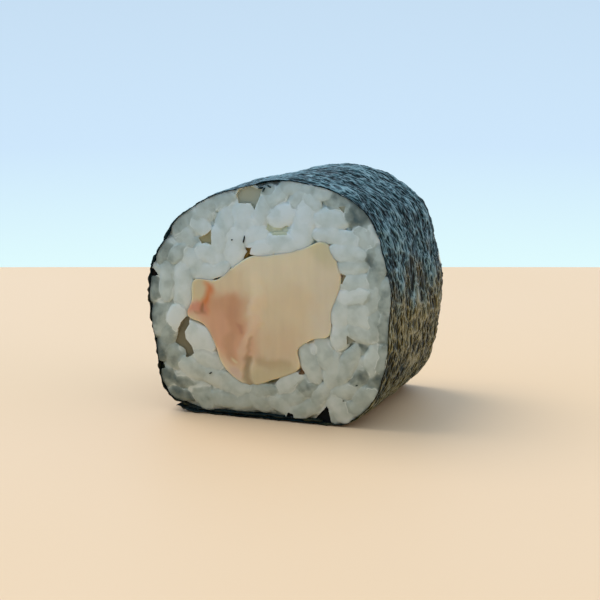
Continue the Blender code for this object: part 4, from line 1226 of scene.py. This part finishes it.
def make_rice(material):
    """The heap: its grains set, joined, pressed, cut and hollowed, with what the material reads of each."""
    centres, turns, sizes, clears = grain_places()
    bm = bmesh.new()
    for centre in centres:
        bm.verts.new(centre)
    points = new_object("grain_places", bm)
    store(points.data, "turn", turns, "FLOAT_VECTOR")
    store(points.data, "size", sizes, "FLOAT_VECTOR")
    cutters = pocket_cutters()
    rice = grow(
        rice_core(), rice_tree(material),
        {
            "Grain Places": points, "Grain Shapes": grain_shapes(), "Fineness": 2, "Stickiness": 2,
            "Knife Plane": ROLL_LENGTH / 2 + KNIFE_PLANE, "Knife Softness": KNIFE_SOFTNESS,
            "Lump Size": 2.1 * MM, "Lump Height": 0.8 * MM, "Pockets": cutters,
        },
    )
    for helper in (points, cutters):
        bpy.data.objects.remove(helper, do_unlink=True)
    mark_grains(rice.data, centres, turns, sizes, clears)
    set_places(rice.data, settled(press_rice(places_of(rice.data))))
    rice.data.set_sharp_from_angle(angle=RICE_SHARP)
    finish_piece(rice, "rice_packing")


# ---------------------------------------------------------------- butterfish

def fish_material():
    """Raw butterfish, sliced with a wet knife: fatty, cloudy flesh that light enters deeply, smooth and
    moist on the cut, with faint fibres that run up it."""
    material, tree, shader = new_material("raw_butterfish")
    place = add_node(tree, "ShaderNodeTexCoord").outputs["Object"]
    flesh = add_node(tree, "ShaderNodeAttribute", attribute_name="flesh").outputs["Color"]
    per_metre = [1.0 / size for size in FISH_FIBRES]
    fine = add_node(tree, "ShaderNodeMapping", {"Vector": place, "Scale": per_metre})
    fibre = add_node(tree, "ShaderNodeTexNoise", {"Vector": fine, "Scale": 1.0, "Detail": 3.0})
    cloud = add_node(
        tree, "ShaderNodeTexNoise", {"Vector": place, "Scale": 1.0 / FISH_CLOUD, "Detail": 4.0}
    )
    mixed = add_node(tree, "ShaderNodeMix", {0: 0.5, 2: fibre, 3: cloud})
    light = add_node(
        tree, "ShaderNodeMapRange",
        {"Value": mixed, "From Min": 0.35, "From Max": 0.65, "To Min": 0.965, "To Max": 1.035},
    )
    colour = add_node(tree, "ShaderNodeVectorMath", {0: flesh, "Scale": light}, operation="SCALE")
    bump = add_node(tree, "ShaderNodeBump", {"Height": mixed, "Strength": 0.2, "Distance": 0.08 * MM})
    dress(shader, {
        "Base Color": colour, "Normal": bump, "Roughness": 0.33, "IOR": 1.42, "Subsurface Weight": 1.0,
        "Subsurface Radius": (1.0, 0.7, 0.45), "Subsurface Scale": 1.4 * MM,
    })
    return material


def flesh_tones(section):
    """The flesh's colour, with painted shade in some of its hollows, and the depth of its hollows at places
    in its section.
    """
    section = strayed(section, FLESH_WANDER)
    colour = np.tile(linear(FISH_BASE), (len(section), 1))
    sunk = np.zeros(len(section))
    for x, z, end_x, end_z, half, soft, strength, depth, tone in FLESH_TONES_AND_SHADE:
        start, run = np.array((x, z)) * MM, np.array((end_x - x, end_z - z)) * MM
        share = np.clip(((section - start) @ run) / (run @ run), 0.0, 1.0)
        away = np.hypot(*(section - start - share[:, None] * run).T) / MM
        cover = strength * (1.0 - smooth_step((away - half) / soft))
        colour += (np.array(linear(tone)) - colour) * cover[:, None]
        sunk += cover * depth * MM
    return colour * FLESH_CAST, sunk


def make_fish(material):
    """The strip as closed rings: out from the middle of one cut, along the strip, and in to the other."""
    half = ROLL_LENGTH / 2 - FISH_SETBACK
    shares = np.linspace(FISH_INNERMOST, 1.0, FISH_RINGS)
    lengths = np.linspace(-half, half, FISH_ROWS + 1)[1:-1]
    rings = [(-half, share, 1.0) for share in shares]
    rings += [(y, 1.0, 0.0) for y in lengths]
    rings += [(half, share, -1.0) for share in shares[::-1]]
    centre = np.array(FISH_CENTRE) * MM
    places, sections, facing = [], [], []
    for y, share, side in rings:
        flat = centre + (fish_section(y, FISH_PRESS) - centre) * share
        deep = np.full(len(flat), y)
        rim_gap = (1.0 - share) * np.hypot(*(flat - centre).T)
        bent = np.clip(1.0 - rim_gap / FISH_EDGE, 0.0, 1.0)
        deep = deep + side * FISH_EDGE * (1.0 - np.sqrt(1.0 - FISH_EDGE_TURN * bent**2))
        places.append(np.stack([flat[:, 0], deep, flat[:, 1]], axis=1))
        sections.append(centre + (FISH_OUTLINE - FISH_INWARD * FISH_PRESS - centre) * share)
        facing.append(np.full(len(flat), side))
    colour, sunk = flesh_tones(np.concatenate(sections))
    bm = bmesh.new()
    rows = tube(bm, places)
    for row in (rows[0], rows[-1]):
        bm.faces.new(row)
    bmesh.ops.recalc_face_normals(bm, faces=bm.faces)
    fish = new_object("butterfish_flesh", bm)
    fish.data.materials.append(material)
    placed = places_of(fish.data)
    placed[:, 1] += sunk * np.concatenate(facing)
    set_places(fish.data, settled(placed))
    store(fish.data, "flesh", colour, "FLOAT_COLOR")
    fish.data.shade_smooth()
    fish.data.set_sharp_from_angle(angle=FISH_SHARP)
    finish_piece(fish, "butterfish_strip")


# ---------------------------------------------------------------- floor, light and camera

def floor_material():
    """A plain matt table top in a pale warm tone, a little uneven."""
    material, tree, shader = new_material("plain_floor")
    place = add_node(tree, "ShaderNodeTexCoord").outputs["Object"]
    drift = add_node(
        tree, "ShaderNodeTexNoise", {"Vector": place, "Scale": 1.0 / FLOOR_DRIFT, "Detail": 1.0}
    )
    colour = add_node(
        tree, "ShaderNodeValToRGB", [drift], ((0.35, "#daba93"), (0.65, "#dcbd99"))
    )
    dress(shader, {"Base Color": colour, "Roughness": 0.6})
    return material


def make_floor():
    """The table top's outline is a square with rounded corners, square to the camera."""
    square = Matrix.Rotation(CAMERA_TURN, 3, "Z")
    bm = bmesh.new()
    ring = []
    for angle in np.linspace(0.0, 2.0 * math.pi, FLOOR_POINTS, endpoint=False):
        x, y = math.cos(angle), math.sin(angle)
        reach = FLOOR_REACH / (abs(x) ** FLOOR_CORNERS + abs(y) ** FLOOR_CORNERS) ** (1.0 / FLOOR_CORNERS)
        ring.append(bm.verts.new(square @ Vector((x * reach, y * reach, 0.0))))
    bm.faces.new(ring)
    floor = new_object("floor", bm)
    floor.data.materials.append(floor_material())


def make_world():
    """A pale blue backdrop. Its light is bright from behind and above, dim from the camera's side, and warm
    from low on the right."""
    world = bpy.data.worlds.new("studio")
    world.use_nodes = True
    bpy.context.scene.world = world
    tree = world.node_tree
    way = add_node(tree, "ShaderNodeTexCoord").outputs["Generated"]
    height = add_node(tree, "ShaderNodeSeparateXYZ", [way]).outputs[2]
    level = add_node(tree, "ShaderNodeMapRange", {"Value": height, "From Min": -0.16, "From Max": 0.02})
    seen = add_node(
        tree, "ShaderNodeValToRGB", [level], ((0.0, "#dffbfe"), (0.42, "#cee7fc"), (1.0, "#c6def3"))
    )
    shown = add_node(tree, "ShaderNodeBackground", [seen, 1.0])
    toward = add_node(tree, "ShaderNodeVectorMath", [way, BRIGHT_SIDE], operation="DOT_PRODUCT")
    strength = add_node(
        tree, "ShaderNodeMapRange",
        {
            "Value": toward.outputs["Value"], "From Min": -0.7, "From Max": 1.0,
            "To Min": DIMMEST, "To Max": BRIGHTEST,
        },
        interpolation_type="SMOOTHSTEP",
    )
    warmth = add_node(tree, "ShaderNodeVectorMath", [way, WARM_SIDE], operation="DOT_PRODUCT")
    share = add_node(
        tree, "ShaderNodeMapRange", {"Value": warmth.outputs["Value"], "From Min": 0.35, "From Max": 0.75}
    )
    tint = add_node(
        tree, "ShaderNodeMix", {0: share, 6: linear("#cfe4f8"), 7: linear("#ffcd8e")}, data_type="RGBA"
    )
    brighter = add_node(tree, "ShaderNodeMath", [share, WARM_EXTRA, strength], operation="MULTIPLY_ADD")
    lit = add_node(tree, "ShaderNodeBackground", [tint, brighter])
    ray = add_node(tree, "ShaderNodeLightPath").outputs["Is Camera Ray"]
    mixed = add_node(tree, "ShaderNodeMixShader", [ray, lit, shown])
    dress(tree.nodes["World Output"], {"Surface": mixed})


def make_sun():
    """One broad soft light from above, behind and to the left."""
    sun = bpy.data.lights.new("soft_sun", "SUN")
    sun.energy = SUN_STRENGTH
    sun.angle = SUN_WIDTH
    sun.color = linear("#fff9f0")[:3]
    made = bpy.data.objects.new("soft_sun", sun)
    made.location = SUN_FROM
    made.rotation_euler = Vector(SUN_FROM).to_track_quat("Z", "Y").to_euler()
    bpy.context.scene.collection.objects.link(made)


def make_camera():
    """The view from in front, a little above and to the right."""
    camera = bpy.data.cameras.new("camera")
    camera.lens = LENS
    camera.sensor_width = SENSOR_WIDTH
    camera.clip_start = CLIP_FROM
    camera.clip_end = CLIP_TO
    made = bpy.data.objects.new("camera", camera)
    made.location = CAMERA_PLACE
    made.rotation_euler = (math.radians(90) - CAMERA_PITCH, 0.0, CAMERA_TURN)
    bpy.context.scene.collection.objects.link(made)
    bpy.context.scene.camera = made


WRAP_OUTLINE = closed_curve(WRAP_STATIONS, TURN_STEPS * SHEET_FINENESS) * (SHEET_WIDER, 1.0)
WRAP_INWARD = inward(WRAP_OUTLINE)
FISH_OUTLINE = closed_curve(FISH_STATIONS, FISH_RIM_POINTS)
FISH_INWARD = inward(FISH_OUTLINE)

make_camera()
make_world()
make_floor()
make_sun()
NORI = nori_material()
make_nori(NORI)
make_scraps(NORI)
make_rice(rice_material())
make_fish(fish_material())
bpy.context.scene.view_settings.view_transform = "Standard"
